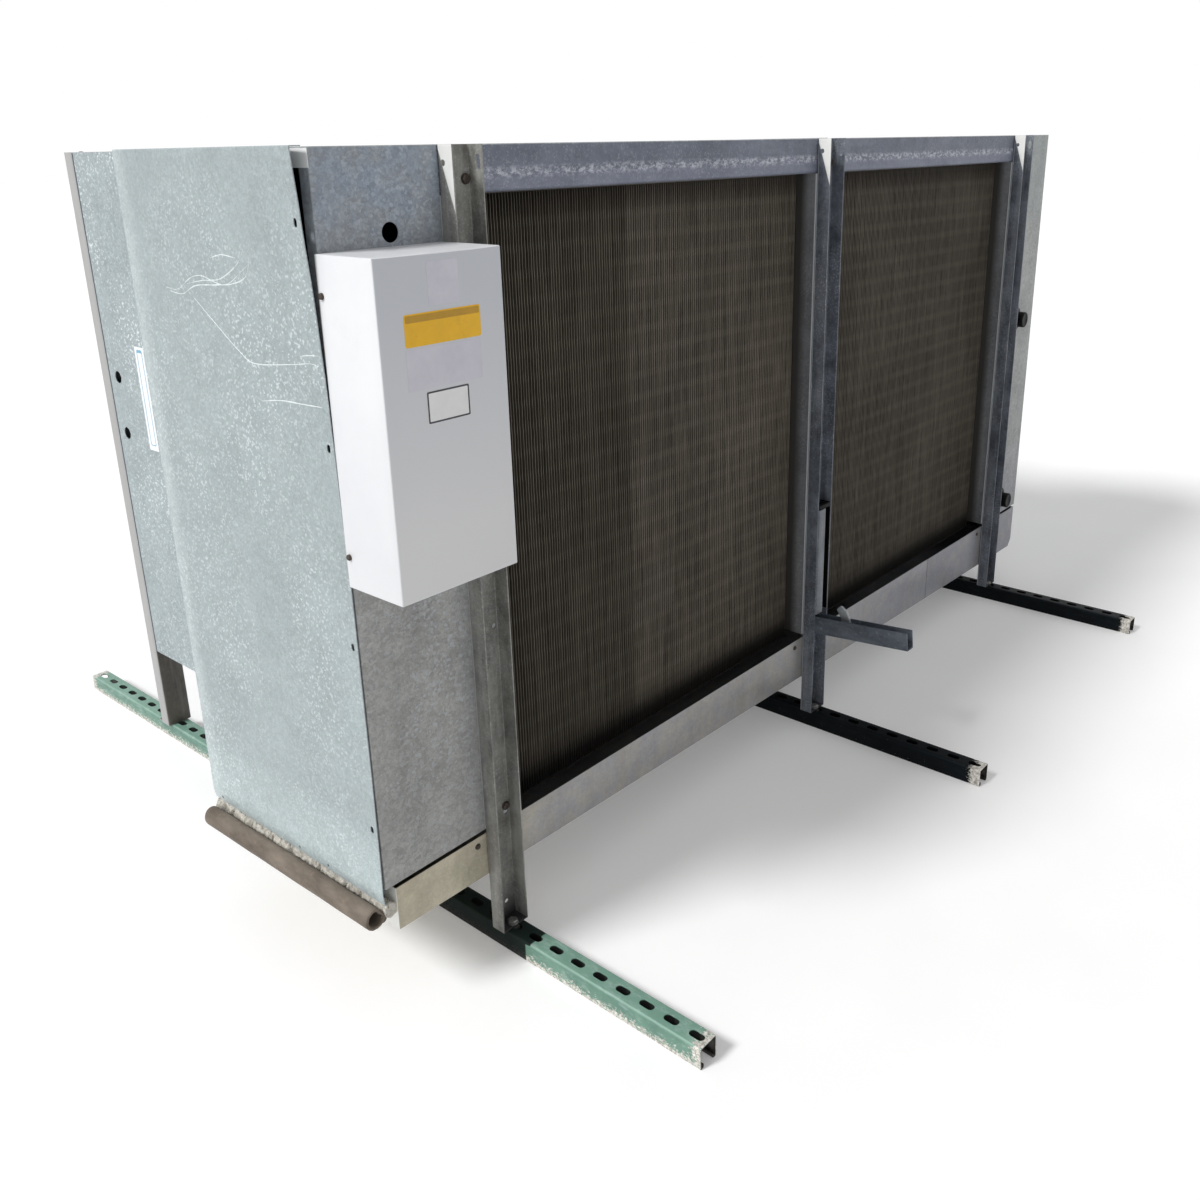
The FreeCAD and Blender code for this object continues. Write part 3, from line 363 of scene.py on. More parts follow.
# a hexagon head on a washer, with a chamfered top; reach is its way out, +1 or -1
def hexHead(place, axis, across, height, washer=0.0, reach=1):
    half = across / math.sqrt(3)
    section = [(0, height), (half * 0.80, height), (half, height * 0.82), (half, 0.0008), (0, 0.0008)]
    parts = [spun("hex", [(r, h * reach) for r, h in section], place, axis, 6, False)]
    if washer > 0:
        disc = [(0, 0.0014), (washer - 0.0004, 0.0014), (washer, 0.0010), (washer, 0.0), (0, 0.0)]
        parts.append(spun("washer", [(r, h * reach) for r, h in disc], place, axis, 24, False))
    return parts


# a pan head with a cross cut into it, at the origin
def panHead(axis, radius, height, reach=1):
    section = [(0, height), (radius * 0.45, height * 0.97), (radius * 0.8, height * 0.75), (radius, height * 0.25),
               (radius, 0), (0, 0)]
    head = spun("pan_head", [(r, h * reach) for r, h in section], (0, 0, 0), axis, 20, False)
    deep, top = height * 0.45 * reach, height * 1.5 * reach
    arm, wide = radius * 0.55, radius * 0.11
    for u, v in ((arm, wide), (wide, arm)):
        bore(head, [boxLine(-u, u, -v, v)], min(deep, top), max(deep, top), axis)
    return head


# view, floor and light

view = {
    "place": (-2.1106, -1.8302, 1.3599),
    "yaw": 49.439,
    "pitch": -18.4225,
    "roll": 1.0741,
    "lens": 33.133,
    "shift": (-0.0318, -0.0731),
}


def setCamera():
    yaw, pitch, roll = (math.radians(view[word]) for word in ("yaw", "pitch", "roll"))
    ahead = Vector((math.sin(yaw) * math.cos(pitch), math.cos(yaw) * math.cos(pitch), math.sin(pitch)))
    right = ahead.cross(Vector((0, 0, 1))).normalized()
    down = ahead.cross(right)
    side = math.cos(roll) * right + math.sin(roll) * down
    low = math.cos(roll) * down - math.sin(roll) * right
    lens = bpy.data.cameras.new("camera")
    lens.lens = view["lens"]
    lens.sensor_width = 36
    lens.sensor_fit = "HORIZONTAL"
    lens.shift_x, lens.shift_y = view["shift"]
    lens.clip_end = 200
    camera = linked("camera", lens)
    turn = Matrix((side, -low, -ahead)).transposed().to_4x4()
    camera.matrix_world = Matrix.Translation(view["place"]) @ turn
    bpy.context.scene.camera = camera


setCamera()
bpy.context.scene.view_settings.view_transform = "Standard"

room = {
    "sky": 0.44,
    "backdrop": 1.0,
    "floorTones": ((240, 240, 240), (244, 244, 244)),
    "floorLift": 0.17,
    "floorHalf": 60,
    "sunFrom": (-0.75, 0.24, 0.77),
    "sunPower": 2.5,
    "sunSpread": 14,
}


# 1 for rays that end in the picture, 0 for those that only light it
def seenRays(tree):
    paths = tree.nodes.new("ShaderNodeLightPath").outputs
    seen = calc(tree, "MAXIMUM", paths["Is Camera Ray"], paths["Is Transmission Ray"])
    return calc(tree, "MAXIMUM", seen, paths["Is Glossy Ray"])


def setRoom():
    world = bpy.data.worlds.new("room")
    bpy.context.scene.world = world
    world.use_nodes = True
    tree = world.node_tree
    strength = level(tree, seenRays(tree), 0, 1, room["sky"], room["backdrop"])
    fill(tree, tree.nodes["Background"], {"Color": (1, 1, 1, 1), "Strength": strength})
    sun = bpy.data.lights.new("sun", "SUN")
    sun.energy = room["sunPower"]
    sun.angle = math.radians(room["sunSpread"])
    lamp = linked("sun", sun)
    lamp.rotation_euler = Vector(room["sunFrom"]).to_track_quat("Z", "Y").to_euler()

    finish, tree, shader = newFinish("floor_paper", roughness=0.9)
    dark, light = room["floorTones"]
    fill(tree, shader, {"Base Color": ramp(tree, cloud(tree, 3, 3), (0.3, dark), (0.7, light)),
                        "Emission Color": (1, 1, 1, 1),
                        "Emission Strength": times(tree, seenRays(tree), room["floorLift"])})
    half = room["floorHalf"]
    floor = newPiece("floor", [(-half, -half, 0), (half, -half, 0), (half, half, 0), (-half, half, 0)], [[0, 1, 2, 3]])
    floor.data.materials.append(finish)


setRoom()
print("camera, floor and light set")

# finishes

# every sheet look has these, unless it says otherwise
sheetBase = {"metallic": 0.25, "cloudSize": 9, "flake": 0.4, "flakeScale": 150, "grain": 0.5, "grainScale": 420,
             "run": 0.2, "runScale": 26, "runStretch": (1, 1, 0.08), "runTone": (205, 205, 205), "patchScale": 4,
             "speck": 0.5, "speckScale": 370, "speckTone": (232, 236, 236), "stainScale": 7, "rough": (0.42, 0.62),
             "footReach": (0.105, 0.045), "footTone": (22, 23, 26),
             "wave": 3.0, "bump": 0.16, "fades": (), "lines": ()}
# a post's left flange: the edge of the painted sunlit corner at its top, and where the painted highlight along its
# outer edge lies
flange = {"pitch": 1.016, "reach": 0.490, "cornerSlope": -2.97, "cornerLine": -3.019, "edge": (-0.5612, -0.5602)}


# 1 on the outside of a post's left flange
def leftFlange(tree):
    place = calc(tree, "FLOORED_MODULO", calc(tree, "ADD", axisOf(tree, "X"), flange["pitch"] / 2), flange["pitch"])
    return times(tree, calc(tree, "LESS_THAN", place, flange["reach"]), facing(tree, "X", -1))


# sheet with zinc on it: spangle crystals, cloudy tone, pale flecks, residue and runs, with painted shade and painted
# sunlight where a look asks for them
def zincFinish(name, look):
    look = {**sheetBase, **look}
    finish, tree, shader = newFinish(name, metallic=look["metallic"])
    colour = ramp(tree, cloud(tree, look["cloudSize"], 6, 0.68), (0.34, look["dark"]), (0.66, look["light"]))
    for letter, low, high, fadeTone, amount in look["fades"]:
        ragged = times(tree, cloud(tree, 30, 4, 0.7), 1.6, clamp=True)
        colour = coat(tree, colour, fadeTone, band(tree, letter, low, high), ragged, amount)
    flakes = ramp(tree, crystals(tree, look["flakeScale"]), (0.0, 0.34), (1.0, 0.66))
    colour = coat(tree, colour, flakes, look["flake"], how="OVERLAY")
    grain = crystals(tree, look["grainScale"])
    colour = coat(tree, colour, ramp(tree, grain, (0.0, 0.36), (1.0, 0.64)), look["grain"], how="OVERLAY")
    runs = ramp(tree, cloud(tree, look["runScale"], 4, 0.6, look["runStretch"]), (0.46, 0.0), (0.70, 1.0))
    colour = coat(tree, colour, look["runTone"], runs, look["run"])
    patches = ramp(tree, cloud(tree, look["patchScale"], 4, 0.65), (0.38, 0.12), (0.62, 1.0))
    specks = ramp(tree, crystals(tree, look["speckScale"]), (0.80, 0.0), (0.92, 1.0))
    colour = coat(tree, colour, look["speckTone"], specks, patches, look["speck"])
    if "stain" in look:
        stains = ramp(tree, cloud(tree, look["stainScale"], 5, 0.7), (0.54, 0.0), (0.66, 1.0))
        colour = coat(tree, colour, look["stainTone"], stains, look["stain"])
    if "crust" in look:
        low, high, crustTone, amount = look["crust"]
        clumps = ramp(tree, cloud(tree, 120, 6, 0.85, (0.6, 1, 1)), (0.47, 0.0), (0.58, 1.0))
        inside = times(tree, band(tree, "Z", low, low + 0.008), band(tree, "Z", high, high - 0.008))
        colour = coat(tree, colour, crustTone, clumps, inside, amount)
    # darker towards the foot, except on the left flange's outside: dirt with painted shade
    if "foot" in look:
        footDirtAndShade = times(tree, band(tree, "Z", *look["footReach"]), calc(tree, "SUBTRACT", 1.0, facing(tree, "X", -1)))
        colour = coat(tree, colour, look["footTone"], footDirtAndShade, look["foot"])
    if "sunTip" in look:  # painted sunlight: the lit corner at the top of a post's left flange
        rise = calc(tree, "MULTIPLY_ADD", axisOf(tree, "Y"), flange["cornerSlope"], flange["cornerLine"])
        paleMask = times(tree, calc(tree, "ADD", rise, axisOf(tree, "Z")), 250.0, clamp=True)
        colour = coat(tree, colour, look["sunTip"], paleMask, leftFlange(tree), 0.9)
    # painted highlight: a thin lit line along the outer edge of the left flange
    if "litEdgeLine" in look:
        colour = coat(tree, colour, look["litEdgeLine"], band(tree, "Y", *flange["edge"]), leftFlange(tree), 0.8)
    # painted sunlight: the left-facing faces of the back left post lighter
    if "sunlitLeftTone" in look:
        colour = coat(tree, colour, look["sunlitLeftTone"], facing(tree, "X", -1), 0.75)
    # thin painted lines: painted shade in gaps, painted highlights on lit edges
    for letter, low, high, paintedLightTone in look["lines"]:
        colour = coat(tree, colour, paintedLightTone, band(tree, letter, low, high))
    low, high = look["rough"]
    fill(tree, shader, {"Base Color": colour, "Roughness": ramp(tree, grain, (0.0, low), (1.0, high))})
    waves = calc(tree, "ADD", times(tree, cloud(tree, 5, 2, 0.5), look["wave"]), grain)
    relief(tree, shader, waves, look["bump"], 0.0005)
    return finish


sheetLooks = {
    "cover": {"dark": (152, 162, 164), "light": (163, 174, 176), "flake": 0.20, "grain": 0.40, "speck": 0.62,
              "run": 0.03, "speckTone": (216, 224, 226), "speckScale": 300, "metallic": 0.12,
              "fades": [("Z", 0.36, 0.22, (196, 210, 210), 0.7), ("Y", -0.078, -0.045, (205, 214, 215), 0.5)]},
    "sidePanel": {"dark": (148, 159, 162), "light": (164, 175, 178), "flake": 0.3, "grain": 0.45, "speck": 0.85,
                  "run": 0.05, "speckTone": (222, 230, 231), "speckScale": 240, "metallic": 0.12,
                  # painted shade: a dark line in the gap between the panel's back edge and the post
                  "lines": [("Y", 0.5848, 0.5856, (58, 64, 68))]},
    "bayPlate": {"dark": (136, 136, 135), "light": (162, 162, 160), "flake": 0.42, "speckScale": 230,
                 "speckTone": (180, 188, 198), "bump": 0.07, "runTone": (176, 174, 168), "metallic": 0.15,
                 # the fade along X is a painted highlight: a light streak beside the post
                 "fades": [("Z", 1.12, 1.30, (132, 147, 166), 0.75), ("X", -1.090, -1.062, (168, 174, 180), 0.2)]},
    "rightPlate": {"dark": (138, 140, 140), "light": (164, 166, 166), "grain": 0.4, "speck": 0.2, "metallic": 0.15,
                   "fades": [("Z", 1.05, 1.30, (146, 156, 155), 0.8), ("Z", 0.50, 0.30, (136, 138, 150), 0.6)]},
    # painted sunlight on the top of the bay plate's left flange
    "litTab": {"dark": (244, 246, 246), "light": (252, 252, 252), "flake": 0.1, "grain": 0.1, "speck": 0, "run": 0.05,
            "metallic": 0},
    "postLeft": {"dark": (98, 98, 95), "light": (142, 142, 137), "flake": 0.3, "grain": 0.35, "speck": 0.12,
                 "run": 0.55, "runTone": (178, 178, 173), "runScale": 30, "runStretch": (1, 1, 0.14), "cloudSize": 18,
                 "bump": 0.3, "stain": 0.35, "stainTone": (84, 76, 66), "metallic": 0.15, "foot": 0.9,
                 "sunTip": (246, 246, 242)},
    "post": {"dark": (70, 75, 83), "light": (116, 122, 132), "flake": 0.3, "grain": 0.4, "speck": 0.2, "run": 0.5,
             "runTone": (156, 160, 167), "runScale": 30, "runStretch": (1, 1, 0.12), "cloudSize": 16, "bump": 0.3,
             "stain": 0.3, "stainTone": (52, 56, 64), "metallic": 0.2, "foot": 0.8, "sunTip": (246, 246, 242),
             "litEdgeLine": (206, 210, 214)},
    "postBack": {"dark": (80, 76, 70), "light": (104, 98, 90), "flake": 0.25, "grain": 0.25, "speck": 0.03, "run": 0.3,
                 "metallic": 0.15, "bump": 0.3, "sunlitLeftTone": (186, 186, 186)},
    "upright": {"dark": (92, 96, 103), "light": (122, 127, 134), "flake": 0.2, "grain": 0.3, "speck": 0.1, "run": 0.3,
                "metallic": 0.2},
    "beam": {"dark": (87, 93, 106), "light": (113, 119, 133), "flake": 0.2, "grain": 0.25, "speck": 0.12, "run": 0.35,
             "runStretch": (0.35, 1, 1), "runTone": (142, 147, 160), "metallic": 0.2,
             "fades": [("Z", 1.326, 1.312, (126, 130, 147), 0.6)], "crust": (1.313, 1.335, (198, 200, 211), 0.8)},
    "skin": {"dark": (146, 152, 156), "light": (174, 179, 182), "flake": 0.35, "grain": 0.35, "speck": 0.3,
             "run": 0.12},
    "pan": {"dark": (166, 158, 138), "light": (198, 190, 170), "flake": 0.15, "grain": 0.2, "speck": 0.12, "run": 0.35,
            "runTone": (142, 134, 120), "rough": (0.30, 0.48),
            "fades": [("X", -1.06, -0.90, (154, 155, 160), 1.0), ("X", 0.0, 0.5, (140, 142, 154), 0.8)],
            # painted highlight: a bright line at the lip's sunlit left end
            "lines": [("X", -1.2372, -1.2379, (250, 250, 246))]},
    "plate": {"dark": (102, 104, 107), "light": (128, 130, 134), "flake": 0.25, "grain": 0.3, "speck": 0.15,
              "run": 0.15, "metallic": 0.2,
              # painted shadow: a dark band beside the coil; painted highlight: a bright line on the flange's edge
              "lines": [("Y", -0.5420, -0.5220, (62, 60, 57)), ("Y", -0.5552, -0.5560, (200, 204, 206))]},
}
finishes = {name: zincFinish("zinc_" + name, look) for name, look in sheetLooks.items()}


# where a strut's colour changes: the painted highlight along its bend, its inside seen through the slots, the step of
# the painted shadow's edge on its side, its worn ends
strutPaint = {"bend": (0.0366, 0.0392), "bendFrom": 0.0172, "inside": (0.0397, 0.0392), "insideTo": 0.0189,
              "insideTone": (20, 17, 16), "side": (0.0385, 0.0365), "sideShift": 0.012, "worn": (0.036, 0.006)}


# enamel over strut: chips down to zinc along its lower edges and ends, dark and dirty inside, painted light on its top
# faces and bends, and a painted shadow where a look asks for it
def enamelFinish(name, look, centre):
    finish, tree, shader = newFinish(name, roughness=0.45)
    colour = ramp(tree, cloud(tree, 16, 5, 0.6), (0.35, look["dark"]), (0.65, look["light"]))
    # painted light: top faces lighter
    colour = coat(tree, colour, look["top"], facing(tree, "Z", 1), 0.5)
    dull = ramp(tree, cloud(tree, 90, 5, 0.75, (1, 0.35, 1)), (0.50, 0.0), (0.66, 1.0))
    colour = coat(tree, colour, look["dust"], dull, look["dusty"])
    gloss = 0.08
    # painted shadow of the cabinet over the rail's middle, with less reflection in it
    if "shade" in look:
        start, end = look["shadeFrom"]
        side = times(tree, band(tree, "Z", *strutPaint["side"]), strutPaint["sideShift"])
        under = calc(tree, "SUBTRACT", calc(tree, "SUBTRACT", axisOf(tree, "Y"), side), start)
        under = times(tree, times(tree, under, 400.0, clamp=True), band(tree, "Y", end, end - 0.01))
        gloss = calc(tree, "MULTIPLY_ADD", under, -0.42, 0.5)
    apart = calc(tree, "ABSOLUTE", calc(tree, "SUBTRACT", axisOf(tree, "X"), centre))
    bend = times(tree, calc(tree, "SUBTRACT", apart, strutPaint["bendFrom"]), 500.0, clamp=True)
    # painted highlight along the rounded bends at the top of the sides
    colour = coat(tree, colour, look["edgeHighlightTone"], band(tree, "Z", *strutPaint["bend"]), bend, look["edge"])
    chips = cloud(tree, 210, 5, 0.8, (1, 0.6, 1))
    tipLow, tipHigh = look["tips"]
    start, full = strutPaint["worn"]
    tips = calc(tree, "MAXIMUM", band(tree, "Y", tipLow + start, tipLow + full),
                band(tree, "Y", tipHigh - start, tipHigh - full))
    worn = times(tree, band(tree, "Z", look["wearTop"], 0.0), look["lowWear"])
    wear = calc(tree, "MAXIMUM", worn, times(tree, tips, look["tipWear"]))
    paleMask = ramp(tree, calc(tree, "ADD", times(tree, wear, 0.34), chips), (0.68, 0.0), (0.73, 1.0))
    zincTone = ramp(tree, cloud(tree, 160, 4, 0.75), (0.35, (150, 144, 134)), (0.62, (238, 236, 228)))
    colour = coat(tree, colour, zincTone, paleMask)
    # the painted shadow lies over the wear
    if "shade" in look:
        colour = coat(tree, colour, look["shade"], under, 0.95)
    within = times(tree, calc(tree, "SUBTRACT", strutPaint["insideTo"], apart), 4000.0, clamp=True)
    colour = coat(tree, colour, strutPaint["insideTone"], within, band(tree, "Z", *strutPaint["inside"]), 0.93)
    fill(tree, shader, {"Base Color": colour, "Specular IOR Level": gloss,
                        "Roughness": ramp(tree, chips, (0.3, 0.36), (0.7, 0.6))})
    relief(tree, shader, calc(tree, "SUBTRACT", times(tree, chips, 0.5), paleMask), 0.4, 0.0004)
    return finish


enamelLooks = {
    "left": {"dark": (82, 120, 106), "light": (104, 142, 126), "top": (138, 176, 160), "dust": (176, 196, 188),
             "dusty": 0.4, "shade": (6, 11, 14), "shadeFrom": (-0.646, 0.30), "tips": (-1.016, 1.016),
             "tipWear": 0.85, "lowWear": 0.95, "wearTop": 0.031, "edge": 0.3, "edgeHighlightTone": (176, 208, 192)},
    "dark": {"dark": (8, 12, 15), "light": (16, 22, 26), "top": (14, 19, 22), "dust": (34, 40, 44), "dusty": 0.25,
             "tips": (-1.016, 1.016), "tipWear": 1.5, "lowWear": 0.2, "wearTop": 0.012, "edge": 0.2,
             "edgeHighlightTone": (48, 56, 62)},
}
railPlaces = {"left": -1.016, "middle": 0.0, "right": 1.016}
for sideName, place in railPlaces.items():
    look = enamelLooks["left" if sideName == "left" else "dark"]
    finishes["rail_" + sideName] = enamelFinish("enamel_" + sideName, look, place)


# plain materials with a tone that drifts, fine grain and a little dirt (a tone and how much of it)
def plainFinish(name, dark, light, rough=(0.4, 0.6), metallic=0.0, scale=40, bump=0.2, dirt=None, stretch=(1, 1, 1),
                depth=0.0004, gloss=0.5, front=None):
    finish, tree, shader = newFinish(name, metallic=metallic)
    colour = ramp(tree, cloud(tree, scale, 5, 0.65, stretch), (0.32, dark), (0.68, light))
    if dirt:
        spots = ramp(tree, cloud(tree, scale * 2.2, 5, 0.75), (0.56, 0.0), (0.70, 1.0))
        colour = coat(tree, colour, dirt[:3], spots, dirt[3])
    if front:  # the front, turned from the light, is darker towards its top
        low, high, lowTone, highTone = front
        shaded = coat(tree, lowTone, highTone, band(tree, "Z", low, high))
        colour = coat(tree, colour, shaded, facing(tree, "Y", -1), 0.95)
    fine = cloud(tree, scale * 9, 3, 0.7, stretch)
    gleam = ramp(tree, fine, (0.3, rough[0]), (0.7, rough[1]))
    fill(tree, shader, {"Base Color": colour, "Roughness": gleam, "Specular IOR Level": gloss})
    relief(tree, shader, fine, bump, depth)
    return finish


sticker = ((0.3, 0.42), 0, 30, 0.05)  # roughness, metallic, scale and bump of a sticker
finishes.update({
    "bolt": plainFinish("bolt_zinc", (96, 97, 96), (150, 150, 146), (0.35, 0.55), 0.5, 120, dirt=(64, 52, 42, 0.5)),
    "darkBolt": plainFinish("screw_dark", (52, 46, 42), (86, 76, 68), (0.45, 0.6), 0.4, 160, dirt=(110, 70, 40, 0.5)),
    "boxPaint": plainFinish("box_enamel", (220, 221, 224), (228, 229, 231), (0.34, 0.46), 0, 4, 0.10,
                            (196, 193, 188, 0.10), front=(0.85, 1.18, (217, 217, 218), (197, 200, 207))),
    "coilTube": plainFinish("coil_tube", (62, 44, 34), (96, 68, 50), (0.5, 0.7), 0.5, 60, dirt=(70, 64, 56, 0.6)),
    "innerGrey": plainFinish("relay_grey", (70, 72, 74), (92, 94, 96), (0.45, 0.6), 0, 60, dirt=(50, 50, 50, 0.3)),
    "palePlastic": plainFinish("terminal_cream", (198, 190, 168), (214, 208, 190), (0.4, 0.55), 0, 60),
    "black": plainFinish("cap_black", (6, 6, 7), (13, 13, 14), (0.4, 0.6), 0, 80, dirt=(34, 33, 32, 0.3), gloss=0.12),
    "rubber": plainFinish("grommet_rubber", (22, 22, 22), (38, 38, 37), (0.65, 0.8), 0, 90, dirt=(92, 88, 82, 0.4)),
    "copper": plainFinish("tube_copper", (150, 88, 60), (186, 116, 84), (0.28, 0.5), 0.85, 30, dirt=(74, 96, 84, 0.35)),
    "motor": plainFinish("motor_enamel", (58, 66, 74), (76, 84, 92), (0.4, 0.55), 0, 40, dirt=(120, 116, 108, 0.3)),
    "fanAlloy": plainFinish("fan_alloy", (158, 162, 166), (188, 191, 194), (0.3, 0.48), 0.7, 26,
                            dirt=(110, 106, 98, 0.35)),
    "guard": plainFinish("guard_coating", (64, 66, 68), (88, 90, 92), (0.38, 0.52), 0.1, 90, dirt=(130, 122, 110, 0.3)),
    "darkSteel": plainFinish("bracket_steel", (78, 86, 96), (116, 124, 134), (0.42, 0.6), 0.35, 34, 0.35,
                             (168, 174, 180, 0.5), (1, 0.4, 1)),
    "foam": plainFinish("sleeve_foam", (92, 83, 74), (134, 123, 111), (0.8, 0.95), 0, 24, 0.9,
                        (152, 128, 112, 0.45), (1, 0.35, 1), depth=0.0012),
    "sealant": plainFinish("sealant_foam", (176, 172, 162), (226, 222, 212), (0.75, 0.9), 0, 90, 0.9,
                           (50, 44, 38, 0.85), depth=0.0015),
    "scratch": plainFinish("bare_scratch", (206, 214, 214), (232, 238, 238), (0.5, 0.7), 0.1, 300, 0.2),
    "labelPale": plainFinish("sticker_pale", (198, 196, 207), (207, 205, 214), *sticker, (190, 186, 196, 0.25)),
    "labelYellow": plainFinish("sticker_yellow", (228, 174, 0), (238, 184, 4), *sticker, (180, 132, 20, 0.3)),
    "labelBare": plainFinish("sticker_bare", (222, 222, 222), (230, 230, 230), *sticker),
    "labelWhite": plainFinish("sticker_white", (232, 236, 238), (240, 243, 244), *sticker),
    "labelHead": plainFinish("sticker_band", (176, 132, 6), (188, 142, 10), (0.3, 0.42), 0, 60, 0.05),
    "labelInk": plainFinish("sticker_outline", (44, 42, 50), (58, 56, 64), (0.3, 0.42), 0, 60, 0.05),
    "labelBlue": plainFinish("sticker_edge", (108, 160, 190), (128, 176, 202), *sticker),
    "drainPipe": plainFinish("drain_pipe", (150, 148, 142), (178, 176, 170), (0.35, 0.5), 0.5, 50),
})

# solids that stay as they are, each with its finish
carriedOver = {
    "sidePanel": "fan_side_panel_left fan_side_panel_right right_end_cover",
    "rightPlate": "right_front_plate",
    "beam": "front_beam_left front_beam_right",
    "skin": "roof_panel plenum_floor plenum_divider left_bay_wrap right_bay_wrap motor_rails_left motor_rails_right "
            "control_box_tray mounting_rail",
    "plate": "tube_plate_left tube_plate_right tube_plate_middle",
}
for look, names in carriedOver.items():
    for name in names.split():
        for slot in nodes[name].material_slots:
            slot.material = finishes[look]
print("finishes set")

# strut rails

strut = {"side": 0.0413, "wall": 0.0027, "gap": 0.0222, "lip": 0.0075, "bend": 0.0036, "length": 2.032,
         "slotLong": 0.0286, "slotWide": 0.0143, "pitch": 0.0508, "firstSlot": 0.022, "slots": 40}


def strutRail(sideName, x):
    side, wall, bend, lip = take(strut, "side", "wall", "bend", "lip")
    lipIn, lipOut = (side - strut["gap"]) / 2, (side + strut["gap"]) / 2
    inner, tip = bend - wall, 0.0006
    corners = [(0, 0, bend), (lipIn, 0, bend), (lipIn, lip, tip), (lipIn - wall, lip, tip),
               (lipIn - wall, wall, inner), (wall, wall, inner), (wall, side - wall, inner),
               (side - wall, side - wall, inner), (side - wall, wall, inner), (lipOut + wall, wall, inner),
               (lipOut + wall, lip, tip), (lipOut, lip, tip), (lipOut, 0, bend),
               (side, 0, bend), (side, side, bend), (0, side, bend)]
    line = [(p[0] + x - side / 2, p[1]) for p in roundedLine(corners)]
    half = strut["length"] / 2
    rail = prismOf("strut_" + sideName, [line], -half, half, "y")
    slots = [slotLine(x, strut["firstSlot"] - half + strut["pitch"] * i, strut["slotWide"] / 2, strut["slotLong"] / 2)
             for i in range(strut["slots"])]
    bore(rail, slots, side - wall * 2, side + wall, "z")
    softEdges(rail, 0.0004, 1)
    dress(rail, "rail_" + sideName, "rail_paint", "rail_" + sideName, smooth=40)


for sideName, x in railPlaces.items():
    strutRail(sideName, x)
print("strut rails made")

# posts

posts = {"web": 0.058, "flange": 0.032, "wall": 0.0027, "top": 1.365, "foot": 0.0413, "front": -0.557, "back": 0.592,
         "backFoot": 0.052, "corner": 0.0042, "edge": 0.0005, "inside": 0.0015, "past": 0.006,
         "hanger": (0.023, 1.340, 0.0045, 0.011),
         "holes": ((0.0193, 0.610, 0.0045), (0.019, 0.256, 0.006), (0.007, 0.075, 0.0045))}


def bentPost(sideName, x, row):
    web, flange, wall, foot, face = take(posts, "web", "flange", "wall", "foot", row)
    corner, edge, inside, past = take(posts, "corner", "edge", "inside", "past")
    front = row == "front"
    out = -1 if front else 1
    corners = [(0, 0, edge), (wall, 0, edge), (wall, flange - wall, inside), (web - wall, flange - wall, inside),
               (web - wall, 0, edge), (web, 0, edge), (web, flange, corner), (0, flange, corner)]
    line = [(x + out * (web / 2 - p[0]), face + out * (flange - p[1])) for p in roundedLine(corners)]
    post = prismOf("post", [line], foot, posts["top"], "z")
    reach, height, halfWide, halfLong = posts["hanger"]
    slot = slotLine(face + out * reach, height, halfWide, halfLong)
    bore(post, [slot], x + web / 2 - past, x + web / 2 + past, "x")
    if front:
        bore(post, [circleLine(face - reach / 2, height, halfWide, 16)], x - web / 2 - past, x - web / 2 + past, "x")
        holes = [circleLine(x + dx, z, radius, 16) for dx, z, radius in posts["holes"]]
        bore(post, holes, face - past, face + past, "y")
    deep = (flange if front else posts["backFoot"]) - wall
    low = face - deep - wall if front else face + wall
    half = web / 2 - wall
    plate = prismOf("foot_plate", [boxLine(x - half, x + half, low, low + deep)], foot, foot + wall, "z")
    post = oneOf(f"bent_post_{row}_{sideName}", [post, plate])
    softEdges(post, 0.0004, 1, 50)
    look = "post" if x > -1 else "postLeft" if front else "postBack"
    dress(post, look, "zinc_post", f"post_{row}_{sideName}", smooth=40)


for rowName in ("front", "back"):
    for sideName, x in railPlaces.items():
        bentPost(sideName, x, rowName)
print("posts made")

# coil

coil = {"pitch": 0.00635, "wall": 0.0010, "rows": 0.0421, "scallop": 0.0004, "front": -0.512, "back": -0.072,
        "low": 0.226, "high": 1.2957, "cap": 0.003, "tube": 0.0079, "deepRows": 6, "tubeInset": 0.024,
        "halves": {"left": (-0.985, -0.031), "right": (0.031, 0.985)}, "tubeSpare": 0.0002,
        # painted shade: the coil darker at its top under the beam and black at its bottom above the pan's lip; the
        # right half a little darker
        "shades": (("X", -0.05, 0.20, (44, 40, 36), 0.24), ("Z", 1.24, 1.295, (34, 26, 20), 0.7),
                   ("Z", 0.30, 0.25, (12, 12, 12), 0.92))}


def finishFins():
    finish, tree, shader = newFinish("fin_alloy", roughness=0.55, metallic=0.2)
    colour = ramp(tree, cloud(tree, 9, 5, 0.7, (18, 1, 0.6)), (0.30, (84, 78, 68)), (0.70, (134, 126, 114)))
    drift = ramp(tree, cloud(tree, 2.4, 4, 0.6), (0.3, 0.34), (0.7, 0.66))
    colour = coat(tree, colour, drift, 0.6, how="OVERLAY")
    rows = times(tree, calc(tree, "SUBTRACT", axisOf(tree, "Z"), coil["low"]), fullTurn / coil["rows"])
    rows = ramp(tree, calc(tree, "MULTIPLY_ADD", calc(tree, "SINE", rows), 0.5, 0.5), (0.55, 0.0), (0.95, 1.0))
    edge = band(tree, "Y", coil["front"] + 0.006, coil["front"] - 0.001)
    dust = cloud(tree, 16, 5, 0.7, (0.5, 1, 1))
    colour = coat(tree, colour, (158, 150, 138), rows, dust, times(tree, edge, 0.55))
    colour = coat(tree, colour, (52, 48, 34), band(tree, "X", -0.586, -0.590), band(tree, "X", -0.988, -0.984), 0.42)
    # painted shade towards the coil's top and bottom, and a darker right half
    for letter, low, high, shadeTone, amount in coil["shades"]:
        colour = coat(tree, colour, shadeTone, band(tree, letter, low, high), amount)
    fill(tree, shader, {"Base Color": colour})
    relief(tree, shader, cloud(tree, 300, 3, 0.7), 0.3, 0.0004)
    return finish


finishes["fins"] = finishFins()


